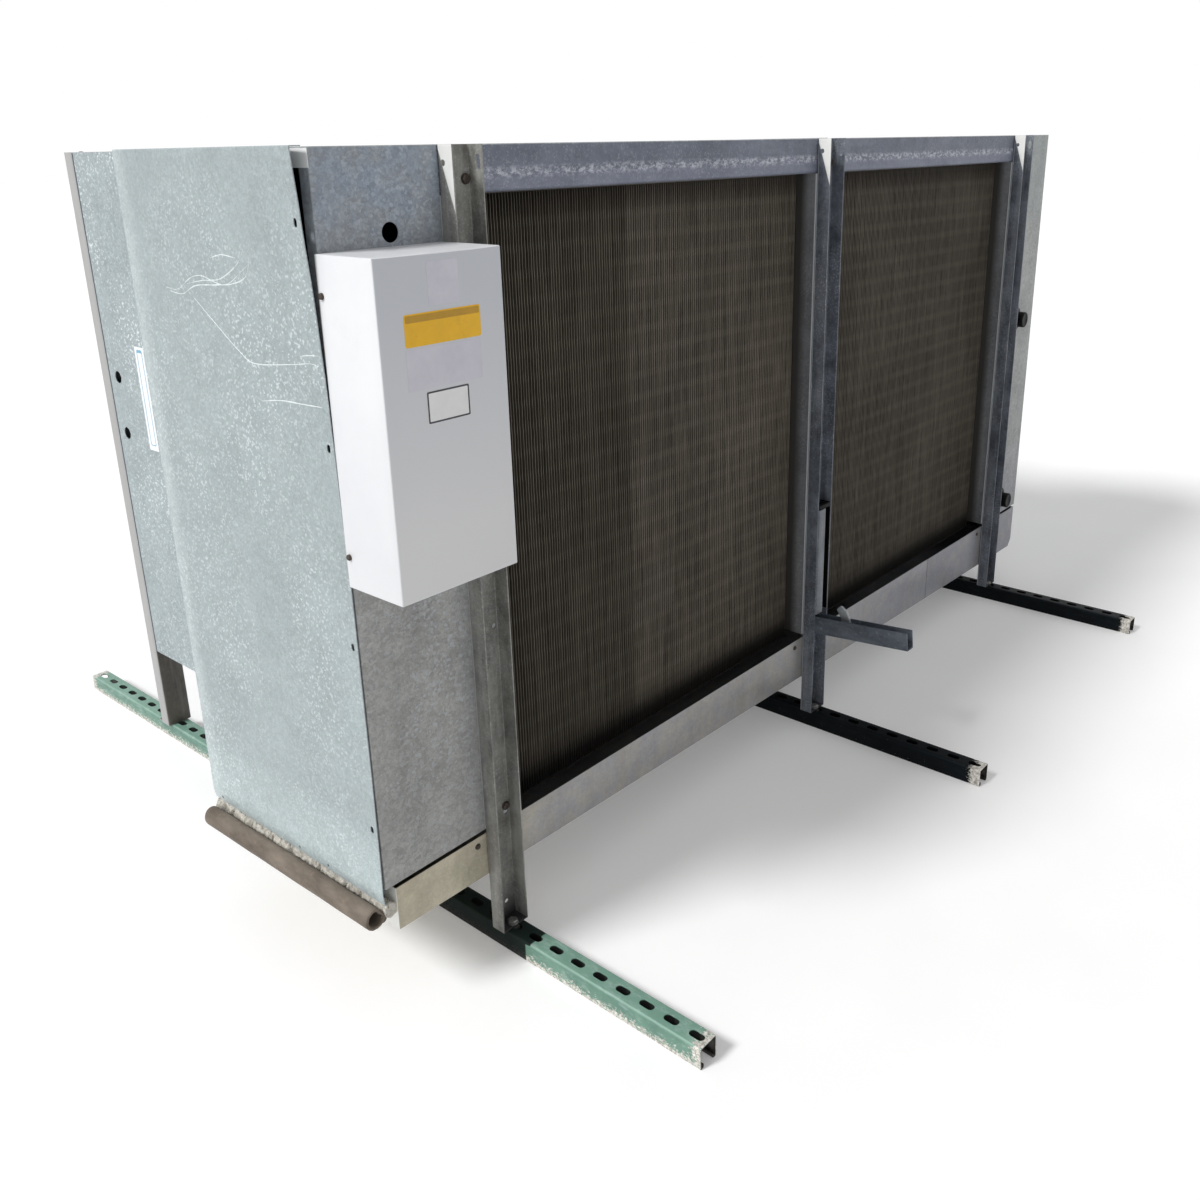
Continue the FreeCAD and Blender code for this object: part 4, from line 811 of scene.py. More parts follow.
# upright fins whose front edge bows between the tube rows
def finPack(sideName):
    left, right = coil["halves"][sideName]
    low, high, cap, front, back = take(coil, "low", "high", "cap", "front", "back")
    verts, faces = [], []
    steps = int((high - low - 2 * cap) / coil["rows"] * 4)
    count = int((right - left - 0.004) / coil["pitch"])
    first = (left + right - (count - 1) * coil["pitch"]) / 2
    for number in range(count):
        x = first + number * coil["pitch"] + rng.uniform(-0.0003, 0.0003)
        lean = rng.uniform(-0.0004, 0.0004)
        base = len(verts)
        for step in range(steps + 1):
            z = low + cap + (high - low - 2 * cap) * step / steps
            bow = coil["scallop"] * (0.5 - 0.5 * math.cos(fullTurn * (z - low) / coil["rows"]))
            dent = 0.0004 * noise.noise(Vector((x * 30, 0, z * 14)))
            for side in (-0.5, 0.5):
                verts.append((x + side * coil["wall"] + lean + dent, front + bow, z))
                verts.append((x + side * coil["wall"], back - bow, z))
        for step in range(steps):
            a, b = base + step * 4, base + step * 4 + 4
            faces += [[a, a + 2, b + 2, b], [a + 1, b + 1, b + 3, a + 3],
                      [a, b, b + 1, a + 1], [a + 2, a + 3, b + 3, b + 2]]
        top = base + steps * 4
        faces += [[base, base + 1, base + 3, base + 2], [top, top + 2, top + 3, top + 1]]
    corners = ((left, front), (right, front), (right, back), (left, back))
    for under, over in ((low, low + cap), (high - cap, high)):
        base = len(verts)
        verts += [(x, y, z) for z in (under, over) for x, y in corners]
        faces += [[base, base + 3, base + 2, base + 1], [base + 4, base + 5, base + 6, base + 7]]
        faces += [[base + i, base + (i + 1) % 4, base + 4 + (i + 1) % 4, base + 4 + i] for i in range(4)]
    dress(newPiece("fins_" + sideName, verts, faces), "fins", "coil_fins", "coil_fins_" + sideName, smooth=0)


# tubes run through the fins in staggered rows
def coilTubes(sideName):
    left, right = coil["halves"][sideName]
    left, right = left + coil["tubeSpare"], right - coil["tubeSpare"]
    inset, rows = coil["tubeInset"], coil["deepRows"]
    lines = []
    for deep in range(rows):
        y = coil["front"] + inset + deep * (coil["back"] - coil["front"] - 2 * inset) / (rows - 1)
        z = coil["low"] + coil["rows"] * (0.5 if deep % 2 == 0 else 1.0)
        while z < coil["high"] - 0.012:
            lines.append([(left, y, z), (right, y, z)])
            z += coil["rows"]
    dress(wires("coil_tubes_" + sideName, lines, coil["tube"], sides=1), "coilTube", "copper_tube")


for sideName in coil["halves"]:
    finPack(sideName)
for sideName in coil["halves"]:
    coilTubes(sideName)
print("coil made")

# fans

fan = {"blades": 5, "tip": 0.380, "root": 0.046, "hub": 0.060, "hubHalf": 0.026, "shaft": 0.0127, "wall": 0.0026,
       "centre": 0.5647, "height": 0.804, "throat": 0.389, "flare": 0.024, "depth": 0.042, "sheet": 0.0015,
       "back": 0.592, "places": {"left": -0.508, "right": 0.508}, "screwRing": 0.046, "rings": 16, "cols": 14,
       "chord": (0.058, 0.3967, -0.2297), "lean": (42, -32.4, 11.4), "camber": (0.006, 0.0455, -0.0335),
       "tipFrom": 0.90, "tipCut": 0.10}
panels = {"left": (-1.045, -0.0003), "right": (0.0003, 1.045), "low": 0.2432, "high": 1.3632}


# chord, lean and camber drift smoothly from hub to tip
def drifted(word, share):
    start, slope, bend = fan[word]
    return start + slope * share + bend * share * share


def bladePoint(share, across, lift):
    chord, camber, lean = drifted("chord", share), drifted("camber", share), math.radians(drifted("lean", share))
    radius = fan["root"] + share * (fan["tip"] - fan["root"])
    tipShare = max(0.0, (share - fan["tipFrom"]) / (1 - fan["tipFrom"]))
    along = across * chord * (1 - fan["tipCut"] * tipShare ** 2)
    bow = camber * (1 - (2 * across) ** 2) + lift
    side = along * math.cos(lean) - bow * math.sin(lean)
    return Vector((side, along * math.sin(lean) + bow * math.cos(lean), math.sqrt(max(radius ** 2 - side ** 2, 0))))


def fanBlade():
    rings, cols = fan["rings"], fan["cols"]
    verts = [bladePoint(i / rings, j / cols - 0.5, lift)
             for lift in (0, fan["wall"]) for i in range(rings + 1) for j in range(cols + 1)]
    faces = []
    size = (rings + 1) * (cols + 1)
    for i in range(rings):
        for j in range(cols):
            a = i * (cols + 1) + j
            faces.append([a, a + 1, a + cols + 2, a + cols + 1])
            faces.append([size + a, size + a + cols + 1, size + a + cols + 2, size + a + 1])
    rim = list(range(cols)) + [i * (cols + 1) + cols for i in range(rings)]
    rim += [rings * (cols + 1) + j for j in range(cols, 0, -1)] + [i * (cols + 1) for i in range(rings, 0, -1)]
    faces += [[a, size + a, size + b, b] for a, b in zip(rim, rim[1:] + rim[:1])]
    return newPiece("blade", verts, faces)


def fanWheel(sideName):
    x, y, z = fan["places"][sideName], fan["centre"], fan["height"]
    hub, half, bar = fan["hub"], fan["hubHalf"], fan["shaft"]
    lug = [(-0.017, -0.010, 0.050), (0.017, -0.010, 0.050), (0.021, 0.010, 0.050), (-0.021, 0.010, 0.050),
           (-0.020, -0.016, 0.118), (0.014, -0.005, 0.118), (0.020, 0.000, 0.118), (-0.016, -0.010, 0.118)]
    lugSides = [[0, 1, 2, 3], [7, 6, 5, 4], [0, 4, 5, 1], [1, 5, 6, 2], [2, 6, 7, 3], [3, 7, 4, 0]]
    parts = []
    for number in range(fan["blades"]):
        turn = Matrix.Translation((x, y, z)) @ Matrix.Rotation(fullTurn * number / fan["blades"], 4, "Y")
        for part in (fanBlade(), newPiece("lug", lug, lugSides)):
            part.data.transform(turn)
            parts.append(part)
    crown = half + 0.0118
    section = [(bar, -half), (hub - 0.004, -half), (hub, -half + 0.004), (hub, half - 0.006), (hub - 0.006, half),
               (0.036, half), (0.0325, half + 0.004), (0.0325, half + 0.009), (0.028, crown), (bar, crown)]
    parts.append(spun("hub", section, (x, y, z), sides=48))
    inner, tip = motor["front"] - motor["bore"] - y + 0.0017, half + 0.0115
    shaft = [(0.0, inner), (bar - 0.001, inner), (bar, inner + 0.001), (bar, tip - 0.0015), (bar - 0.001, tip),
             (0.0, tip)]
    parts.append(spun("shaft", shaft, (x, y, z), sides=24, closed=False))
    base, top = half - 0.001, half + 0.0042
    screw = [(0, base), (0.0052, base), (0.0052, top - 0.0012), (0.004, top), (0, top)]
    for number in range(fan["blades"]):
        angle = fullTurn * (number + 0.5) / fan["blades"]
        place = (x + fan["screwRing"] * math.sin(angle), y, z + fan["screwRing"] * math.cos(angle))
        parts.append(spun("screw", screw, place, sides=12, closed=False))
    wheel = oneOf("wheel_" + sideName, parts)
    dress(wheel, "fanAlloy", "fan_alloy", "fan_wheel_" + sideName, body="fan_" + sideName, smooth=40)


# a plate with a bell mouth: the flare is a quarter turn, then a straight throat with a rolled end
def bellPanel(sideName):
    x, y, z = fan["places"][sideName], fan["back"], fan["height"]
    sheet, throat, flare, depth = take(fan, "sheet", "throat", "flare", "depth")
    plate = prismOf("plate", [boxLine(*panels[sideName], panels["low"], panels["high"])], y - sheet, y, "y")
    bore(plate, [circleLine(x, z, throat + flare - 0.0005, 96)], y - spare, y + spare, "y")
    turns = [math.pi / 2 * step / 8 for step in range(9)]
    inner, outer = ([(throat + flare - bend * math.sin(angle), -flare + bend * math.cos(angle)) for angle in turns]
                    for bend in (flare, flare - sheet))
    tip = [(throat, -depth + 0.003), (throat - 0.0012, -depth + 0.0015), (throat, -depth), (throat + 0.003, -depth),
           (throat + 0.0042, -depth + 0.0015), (throat + 0.003, -depth + 0.003), (throat + sheet, -depth + 0.003)]
    mouth = spun("mouth", inner + tip + outer[::-1], (x, y, z), sides=96)
    dress(oneOf("bell_panel_" + sideName, [plate, mouth]), "skin", "galvanised_sheet", "fan_panel_" + sideName)


guard = {"wire": 0.0021, "spokeWire": 0.0028, "edge": 0.4245, "rise": 0.052, "step": 0.0215, "spokes": 8,
         "inner": 0.052, "clips": 4,
         "clip": ((0, 0.0001), (0.0085, 0.0001), (0.0085, 0.0016), (0.0055, 0.0016), (0.0055, 0.0085),
                  (0.0042, 0.0098), (0, 0.0098))}


def guardLift(radius):
    rise = guard["rise"]
    bend = guard["edge"] - rise * 1.6
    if radius <= bend:
        return rise - 0.0055
    share = (radius - bend) / (guard["edge"] - bend)
    return rise - 0.0055 - (rise - 0.0085) * (share * share * (3 - 2 * share) * 0.35 + share * 0.65)


def wireGuard(sideName):
    x, y, z = fan["places"][sideName], fan["back"], fan["height"]
    edge, rise = guard["edge"], guard["rise"]

    # a place on the guard, lifted off the panel
    def onGuard(radius, angle, lift):
        u, w = polar(x, z, radius, angle)
        return u, y + lift, w

    rings, radius = [], edge
    while radius > guard["inner"]:
        sides = 120 if radius > 0.2 else 72
        rings.append([onGuard(radius, fullTurn * i / sides, guardLift(radius) + 0.0008) for i in range(sides)])
        radius -= guard["step"]
    grille = [wires("rings", rings, guard["wire"], closed=True, sides=2)]
    spokes = []
    for number in range(guard["spokes"]):
        angle = fullTurn * (number + 0.5) / guard["spokes"]
        reaches = [0.050] + [0.10 + 0.0325 * i for i in range(11)]
        spokes.append([onGuard(r, angle, guardLift(min(r, edge)) - 0.0035) for r in reaches if r < edge - 0.003]
                      + [onGuard(edge, angle, 0.0030)])
    grille.append(wires("spokes", spokes, guard["spokeWire"], sides=2))
    badge = [(0, rise - 0.0085), (0.052, rise - 0.0085), (0.054, rise - 0.0070), (0.050, rise - 0.0040),
             (0.020, rise - 0.0022), (0, rise - 0.0020)]
    grille.append(spun("badge", badge, (x, y, z), sides=48, closed=False))
    for number in range(guard["clips"]):
        place = onGuard(edge, fullTurn * (number * 2 + 0.5) / 8, 0)
        grille.append(spun("clip", guard["clip"], place, sides=6, closed=False))
    dress(oneOf("wire_guard_" + sideName, grille), "guard", "guard_coating", "fan_guard_" + sideName, smooth=50)


motor = {"back": 0.245, "front": 0.480, "radius": 0.086, "band": 0.0895, "ribs": 36, "bore": 0.078, "railTop": 0.706,
         "feet": ((-0.058, 0.060), (0.058, 0.060), (-0.058, 0.176), (0.058, 0.176)),
         "rib": ((-0.004, -0.0011), (0.0022, -0.0008), (0.0022, 0.0008), (-0.004, 0.0011))}


def fanMotor(sideName):
    x, z = fan["places"][sideName], fan["height"]
    back, front, radius, ring, low = take(motor, "back", "front", "radius", "band", "railTop")
    shell = [(0.0, back), (0.030, back), (0.058, back + 0.004), (0.078, back + 0.016), (radius, back + 0.030),
             (ring, back + 0.031), (ring, back + 0.040), (radius, back + 0.041), (radius, front - 0.046),
             (ring, front - 0.045), (ring, front - 0.036), (radius, front - 0.035), (0.078, front - 0.020),
             (0.052, front - 0.008), (0.024, front - 0.004), (0.022, front), (0.0134, front),
             (0.0134, front - motor["bore"]), (0.0, front - motor["bore"])]
    parts = [spun("shell", shell, (x, 0, z), sides=72, closed=False)]
    for number in range(motor["ribs"]):
        angle = fullTurn * number / motor["ribs"]
        if -2.1 < math.atan2(math.sin(angle), math.cos(angle)) < -1.0:  # none where the saddle is
            continue
        u, v = polar(0, 0, radius + 0.0012, angle)
        along, up = math.cos(angle), math.sin(angle)
        rib = [(x + u + dx * along - dz * up, z + v + dx * up + dz * along) for dx, dz in motor["rib"]]
        parts.append(prismOf("rib", [rib], back + 0.044, front - 0.049, "y"))
    saddle = [(x - 0.072, low), (x + 0.072, low), (x + 0.072, 0.712), (x + 0.044, 0.714), (x + 0.030, 0.726),
              (x - 0.030, 0.726), (x - 0.044, 0.714), (x - 0.072, 0.712)]
    parts.append(prismOf("saddle", [saddle], back + 0.036, front - 0.036, "y"))
    head = [(0, 0.7115), (0.0075, 0.7115), (0.0075, 0.717), (0.006, 0.7185), (0, 0.7185)]
    for dx, dy in motor["feet"]:
        parts.append(spun("foot_screw", head, (x + dx, back + dy, 0), axis="z", sides=6, closed=False))
    near, far = x + 0.076, x + 0.104
    lead = [(near, z - 0.034, 0.003), (far, z - 0.030, 0.004), (far, z + 0.030, 0.004), (near, z + 0.034, 0.003)]
    parts.append(prismOf("lead_box", [roundedLine(lead)], back + 0.085, back + 0.165, "y"))
    piece = oneOf("motor_" + sideName, parts)
    softEdges(piece, 0.0006, 1, 50)
    dress(piece, "motor", "motor_paint", "fan_motor_" + sideName)


for make in (fanWheel, bellPanel, wireGuard, fanMotor):
    for sideName in fan["places"]:
        make(sideName)
print("fans, bell mouths, guards and motors made")

# left end cover, sprung off at its front edge

cover = {"back": -0.033, "front": -0.5567, "lowBack": 0.204, "lowFront": 0.216, "top": 1.3668, "wall": 0.0015,
         "faceBack": -1.2568, "lip": 0.0175, "bend": 0.0022, "wave": 0.0009, "stations": 26, "rows": 48,
         "tuck": 0.018, "tuckIn": 0.0030, "cut": (-1.30, -1.245),
         "edge": ((0.216, -1.2640), (0.30, -1.2618), (0.45, -1.2608), (0.75, -1.2608), (0.90, -1.2628),
                  (1.04, -1.2656), (1.16, -1.2697), (1.28, -1.2772), (1.3668, -1.2828)),  # height, how far out
         "slots": ((-0.5435, 1.272), (-0.5445, 0.968), (-0.5455, 0.665), (-0.5445, 0.352)),
         "holes": ((-0.062, 0.2135), (-0.319, 0.2195), (-0.404, 0.2215))}


# the place between two values, by the share of the way from a cover's back to its front
def alongCover(y, atBack, atFront):
    return atBack + (y - cover["back"]) / (cover["front"] - cover["back"]) * (atFront - atBack)


def coverLow(y):
    return alongCover(y, cover["lowBack"], cover["lowFront"])


def coverFace(y, z):
    share = (y - cover["back"]) / (cover["front"] - cover["back"])
    edge = cover["edge"]
    number = max(k for k in range(len(edge) - 1) if k == 0 or z >= edge[k][0])
    rise = min(max((z - edge[number][0]) / (edge[number + 1][0] - edge[number][0]), 0), 1)
    rise = rise * rise * (3 - 2 * rise) * 0.4 + rise * 0.6
    x = alongCover(y, cover["faceBack"], edge[number][1] + rise * (edge[number + 1][1] - edge[number][1]))
    ripple = 0.5 + 0.5 * noise.noise(Vector((0.4, y * 5.5, z * 2.6)))
    x += cover["wave"] * ripple * min(1, 4 * share) * (1 - share)
    return x + cover["tuckIn"] * max(0.0, 1 - (z - coverLow(y)) / cover["tuck"])


def endCover():
    wall, bend, top, lip, tuck = take(cover, "wall", "bend", "top", "lip", "tuck")
    turns = [math.pi - math.pi / 2 * k / 8 for k in range(1, 9)]
    rings = []
    for station in range(cover["stations"] + 1):
        y = cover["back"] + (cover["front"] - cover["back"]) * station / cover["stations"]
        low = coverLow(y)
        heights = [low, low + tuck * 0.5, low + tuck - 0.001, low + tuck + 0.001]
        start = heights[-1]
        heights += [start + (top - bend - start) * k / cover["rows"] for k in range(1, cover["rows"] + 1)]
        edge = coverFace(y, heights[-1])
        line = [(coverFace(y, z), z) for z in heights]
        line += [polar(edge + bend, top - bend, bend, a) for a in turns]
        line += [(edge + lip, top), (edge + lip, top - wall)]
        line += [polar(edge + bend, top - bend, bend - wall, a) for a in reversed(turns)]
        line += [(coverFace(y, z) + wall, z) for z in reversed(heights)]
        rings.append([(x, y, z) for x, z in line])
    piece = loftOf("lift_off_cover", rings)
    tools = [slotLine(y, z, 0.0040, 0.0062) for y, z in cover["slots"]]
    tools += [slotLine(y, z, 0.0026, 0.0034) for y, z in cover["holes"]]
    bore(piece, tools, *cover["cut"], "x")
    with opened(piece.data) as work:
        bmesh.ops.triangulate(work, faces=work.faces)
    return dress(piece, "cover", "spangled_sheet", "left_end_cover", body="end_cover", smooth=12)


scratches = {
    "width": 0.0012, "rise": 0.00045,
    "lines": [  # y and z of each scratch's points
        [(-0.146, 1.163), (-0.183, 1.162), (-0.226, 1.181), (-0.263, 1.187), (-0.328, 1.178), (-0.386, 1.202),
         (-0.407, 1.213)],
        [(-0.158, 1.158), (-0.196, 1.156), (-0.240, 1.171), (-0.300, 1.176), (-0.352, 1.181), (-0.392, 1.194),
         (-0.412, 1.224)],
        [(-0.214, 1.172), (-0.262, 1.180), (-0.318, 1.186), (-0.372, 1.209), (-0.398, 1.232)],
        [(-0.231, 1.152), (-0.289, 1.115), (-0.340, 1.084), (-0.380, 1.069), (-0.474, 1.078), (-0.527, 1.085),
         (-0.546, 1.083)],
        [(-0.299, 1.215), (-0.334, 1.221), (-0.371, 1.218)],
        [(-0.505, 1.093), (-0.524, 1.096), (-0.548, 1.098)],
        [(-0.385, 1.014), (-0.438, 1.022), (-0.490, 1.024), (-0.541, 1.026)],
    ],
}


# a smooth line through points in a plane
def curveThrough(points, steps):
    line = []
    for k in range(len(points) - 1):
        before, here = Vector(points[max(k - 1, 0)]), Vector(points[k])
        after, beyond = Vector(points[k + 1]), Vector(points[min(k + 2, len(points) - 1)])
        for t in (step / steps for step in range(steps)):
            line.append(0.5 * (2 * here + (after - before) * t + (2 * before - 5 * here + 4 * after - beyond) * t * t
                               + (3 * here - before - 3 * after + beyond) * t ** 3))
    return line + [Vector(points[-1])]


# fine raised scratches that follow the sheet
def coverScratches(sheet):
    work = bmesh.new()
    work.from_mesh(sheet.data)
    tree = BVHTree.FromBMesh(work)
    work.free()
    parts = []
    for points in scratches["lines"]:
        line = curveThrough(points, 7)
        last = len(line) - 1
        wide = scratches["width"] * rng.uniform(0.7, 1.2)
        rings = []
        for k, place in enumerate(line):
            ahead = line[min(k + 1, last)] - line[max(k - 1, 0)]
            side = Vector((-ahead.y, ahead.x)).normalized()
            taper = 0.4 + 0.6 * math.sin(math.pi * min(max(k / last, 0.03), 0.97))
            half = wide * taper * rng.uniform(0.6, 1.3)
            ring = []
            for across, lift in ((-half, -0.0001), (0, scratches["rise"]), (half, -0.0001)):
                y, z = place.x + side.x * across, place.y + side.y * across
                hit = tree.ray_cast(Vector((-1.4, y, z)), Vector((1, 0, 0)))[0]
                ring.append((hit.x - lift, y, z))
            rings.append(ring)
        parts.append(loftOf("scratch", rings))
    dress(oneOf("cover_scratches", parts), "scratch", "spangled_sheet", body="end_cover", smooth=0)


coverScratches(endCover())
print("end cover and its scratches made")

# front plate of the left bay

bayFront = {"left": -1.2565, "right": -1.045, "low": 0.2432, "high": 1.3635, "face": -0.557, "wall": 0.0012,
            "bend": 0.0022, "flange": 0.022, "knockout": (-1.1374, 1.251, 0.014), "litTab": (1.339, 0.050)}


def bayFrontPlate():
    left, right, face, wall, high = take(bayFront, "left", "right", "face", "wall", "high")
    back = face + bayFront["flange"]
    corners = [(left, face, bayFront["bend"]), (right, face, 0), (right, face + wall, 0),
               (left + wall, face + wall, 0.001), (left + wall, back, 0), (left, back, 0)]
    plate = prismOf("folded_plate", [roundedLine(corners, 5)], bayFront["low"], high, "z")
    x, z, radius = bayFront["knockout"]
    bore(plate, [circleLine(x, z, radius, 40)], face - spare, face + spare, "y")
    # painted sunlight: a white sheet over the top of the plate's left flange, where the sun falls
    low, reach = bayFront["litTab"]
    litTab = prismOf("lit_upper_tab", [boxLine(left - 0.0002, left + wall, face + 0.0008, face + reach)], low, high, "z")
    dress(litTab, "litTab", "galvanised_sheet", smooth=0)
    dress(plate, "bayPlate", "galvanised_sheet", "left_front_plate", smooth=40)


bayFrontPlate()

# control box cover and its stickers

box = {"left": -1.2623, "right": -1.0453, "front": -0.678, "back": -0.5573, "low": 0.764, "high": 1.232,
       "wall": 0.0012, "round": 0.0024, "corner": 0.0016, "inside": 0.0008, "sag": 0.0030, "steps": 22,
       "deepSteps": 8, "trayFront": -0.573, "sagRun": 0.03, "sagEase": 0.45}


# one outline of the cover; its top sags a little in front of the tray
def boxRing(y, inset, corner):
    ahead = min(1, max(0, (box["trayFront"] - y) / box["sagRun"]))
    share = ahead * (1 - box["sagEase"] * (box["back"] - y) / (box["back"] - box["front"]))
    left, right = box["left"] + inset, box["right"] - inset
    low, high = box["low"] + inset, box["high"] - inset
    corners = [(left, low, corner), (right, low, corner), (right, high, corner)]
    for t in (k / box["steps"] for k in range(1, box["steps"])):
        dip = 0.5 + 0.5 * noise.noise(Vector((t * 3.1, y * 9, 2.7)))
        corners.append((right + (left - right) * t, high - box["sag"] * dip * math.sin(math.pi * t) * share, 0))
    return [(p[0], y, p[1]) for p in roundedLine(corners + [(left, high, corner)], 3)]


def boxCover():
    back, front, bend, wall, steps = take(box, "back", "front", "round", "wall", "deepSteps")
    outer = [boxRing(back + (front + bend - back) * k / steps, 0, box["corner"]) for k in range(steps + 1)]
    outer += [boxRing(front + bend - bend * math.sin(angle), bend * (1 - math.cos(angle)), box["corner"])
              for angle in (math.pi / 2 * k / 3 for k in (1, 2, 3))]
    inner = [boxRing(front + wall + (back - front - wall) * k / steps, wall, box["inside"]) for k in range(steps + 1)]
    piece = loftOf("box_cover", outer + inner, caps=False)
    count, split = len(outer[0]), len(outer)
    last = (split + len(inner) - 1) * count
    with opened(piece.data) as work:
        verts = work.verts
        verts.ensure_lookup_table()
        between = [face for face in work.faces
                   if len({v.index // count for v in face.verts} & {split - 1, split}) == 2]
        bmesh.ops.delete(work, geom=between, context="FACES")
        verts.ensure_lookup_table()
        for ring in (split - 1, split):
            work.faces.new([verts[ring * count + i] for i in range(count)])
        for i in range(count):
            j = (i + 1) % count
            work.faces.new([verts[i], verts[j], verts[last + j], verts[last + i]])
        bmesh.ops.recalc_face_normals(work, faces=work.faces)
    dress(piece, "boxPaint", "box_paint", "control_box_cover", body="control_cover", smooth=30)


boxCover()

stickers = {
    "thick": 0.00025, "sunk": 0.0001, "line": 0.0024,
    "plates": (  # left, right, low, high, corner, finish
        ("pale_sticker_top", -1.1775, -1.1245, 1.1640, 1.2215, 0.0012, "labelPale"),
        ("yellow_sticker", -1.2210, -1.0900, 1.1140, 1.1570, 0.0035, "labelYellow"),
        ("pale_sticker_low", -1.2215, -1.0920, 1.0560, 1.1115, 0.0012, "labelPale"),
        ("outlined_sticker", -1.1925, -1.1190, 1.0080, 1.0515, 0.0020, "labelBare"),
    ),
}


# a flat ring between two rounded outlines
def frameOf(name, outer, inner, low, high):
    count = len(outer)
    verts = [(p[0], y, p[1]) for y in (low, high) for line in (outer, inner) for p in line]
    faces = []
    for i in range(count):
        j = (i + 1) % count
        a, b, c, d = i, j, count + j, count + i
        faces += [[a, b, c, d], [2 * count + a, 2 * count + d, 2 * count + c, 2 * count + b],
                  [a, 2 * count + a, 2 * count + b, b], [d, c, 2 * count + c, 2 * count + d]]
    return newPiece(name, verts, faces)


def boxStickers():
    face, thick, inset = box["front"], stickers["thick"], stickers["line"]
    sheets = []
    for name, left, right, low, high, corner, finish in stickers["plates"]:
        plate = prismOf(name, [boxLine(left, right, low, high, corner)], face - thick, face + stickers["sunk"], "y")
        sheets.append((plate, finish))
    left, right, _, high = stickers["plates"][1][1:5]
    head = boxLine(left + 0.002, right - 0.002, high - 0.0115, high - 0.002, 0.0018)
    sheets.append((prismOf("yellow_sticker_head", [head], face - thick * 1.3, face - thick * 0.8, "y"), "labelHead"))
    left, right, low, high, corner = stickers["plates"][3][1:6]
    outer = boxLine(left, right, low, high, corner)
    inner = boxLine(left + inset, right - inset, low + inset, high - inset, corner - 0.0008)
    sheets.append((frameOf("sticker_outline", outer, inner, face - thick * 1.4, face - thick * 0.8), "labelInk"))
    for piece, finish in sheets:
        dress(piece, finish, "box_paint", body="control_cover", smooth=0)


boxStickers()

sideLabel = {"low": 0.758, "high": 0.980, "near": 0.4155, "far": 0.4545, "face": -1.045, "inset": 0.0085}


# the tall sticker on the fan section's left side
def sideSticker():
    low, high, near, far, face, inset = take(sideLabel, "low", "high", "near", "far", "face", "inset")
    sunk = face + stickers["sunk"]
    plate = prismOf("side_sticker", [boxLine(near, far, low, high, 0.002)], face - 0.0002, sunk, "x")
    dress(plate, "labelWhite", "galvanised_sheet", smooth=0)
    outer = boxLine(near + inset, far - inset, low + 0.011, high - 0.006, 0.004)
    inner = boxLine(near + inset + 0.002, far - inset - 0.002, low + 0.013, high - 0.012, 0.003)
    ring = frameOf("side_sticker_line", outer, inner, face - 0.0003, face - 0.0001)
    for vert in ring.data.vertices:
        vert.co = vert.co.yxz
    ring.data.flip_normals()
    dress(ring, "labelBlue", "galvanised_sheet", smooth=0)


sideSticker()

boxScrews = {"places": ((-0.565, 0.812), (-0.565, 1.178)), "across": 0.0078, "height": 0.0039, "washer": 0.0046}
heads = []
for y, z in boxScrews["places"]:
    heads += hexHead((box["left"], y, z), "x", boxScrews["across"], boxScrews["height"], boxScrews["washer"], -1)
dress(oneOf("box_screws", heads), "darkBolt", "zinc_bolts", "cover_screws", body="control_cover", smooth=30)
print("control box cover, stickers and screws made")

# bolts of the posts

# rows: y of the foot bolts, face and way out of the web bolts
bolts = {"rows": ((-0.5804, -0.5597, -1), (0.6316, 0.5947, 1)), "footTop": 0.0440, "footAcross": 0.017,
         "footHead": (0.0063, 0.0100), "webAcross": 0.013, "webHead": (0.0048, 0.0080), "shank": 0.005,
         "nut": 0.0098, "nutReach": (0.0297, 0.0385), "side": 0.018, "heights": (0.268, 1.317)}


def footBolts():
    thick, nut = bolts["shank"], bolts["nut"]
    shank = [(0, 0.0300), (thick - 0.0006, 0.0300), (thick, 0.0306), (thick, 0.0442), (0, 0.0442)]
    parts = []
    for x in railPlaces.values():
        for y, _, _ in bolts["rows"]:
            parts += hexHead((x, y, bolts["footTop"]), "z", bolts["footAcross"], *bolts["footHead"])
            parts.append(spun("shank", shank, (x, y, 0), "z", 20, False))
            line = boxLine(x - nut, x + nut, y - nut, y + nut, 0.003)
            parts.append(prismOf("channel_nut", [line], *bolts["nutReach"], "z"))
    dress(oneOf("rail_bolts", parts), "bolt", "zinc_bolts", "foot_bolts", smooth=30)


def postBolts():
    end = [(0, 0.0050), (0.0030, 0.0050), (0.0037, 0.0043), (0.0037, 0.0020), (0, 0.0020)]
    parts = []
    for x in railPlaces.values():
        for _, face, reach in bolts["rows"]:
            for z in bolts["heights"]:
                place = (x + bolts["side"], face, z)
                parts += hexHead(place, "y", bolts["webAcross"], *bolts["webHead"], reach)
                parts.append(spun("shank", [(r, h * reach) for r, h in end], place, "y", 16, False))
    dress(oneOf("web_bolts", parts), "darkBolt", "zinc_bolts", "post_bolts", smooth=30)


footBolts()
postBolts()

screws = {"across": 0.0079, "height": 0.0034, "washer": 0.0056, "frontFace": -0.557, "fanFace": 0.592,
          "bayFace": -0.034, "front": ((1.1115, 1.020), (1.0890, 0.486)), "panHeight": 0.2185,
          "pan": (-1.0640, -0.0610, 0.060, 0.955, 1.075), "fanColumns": (-0.975, -0.040, 0.040, 0.975),
          "bayColumns": (-1.236, -1.062, 1.062, 1.216), "endColumns": (-0.52, 0.52),
          "rowsUp": 5, "low": 0.262, "high": 1.345, "roof": 1.365}


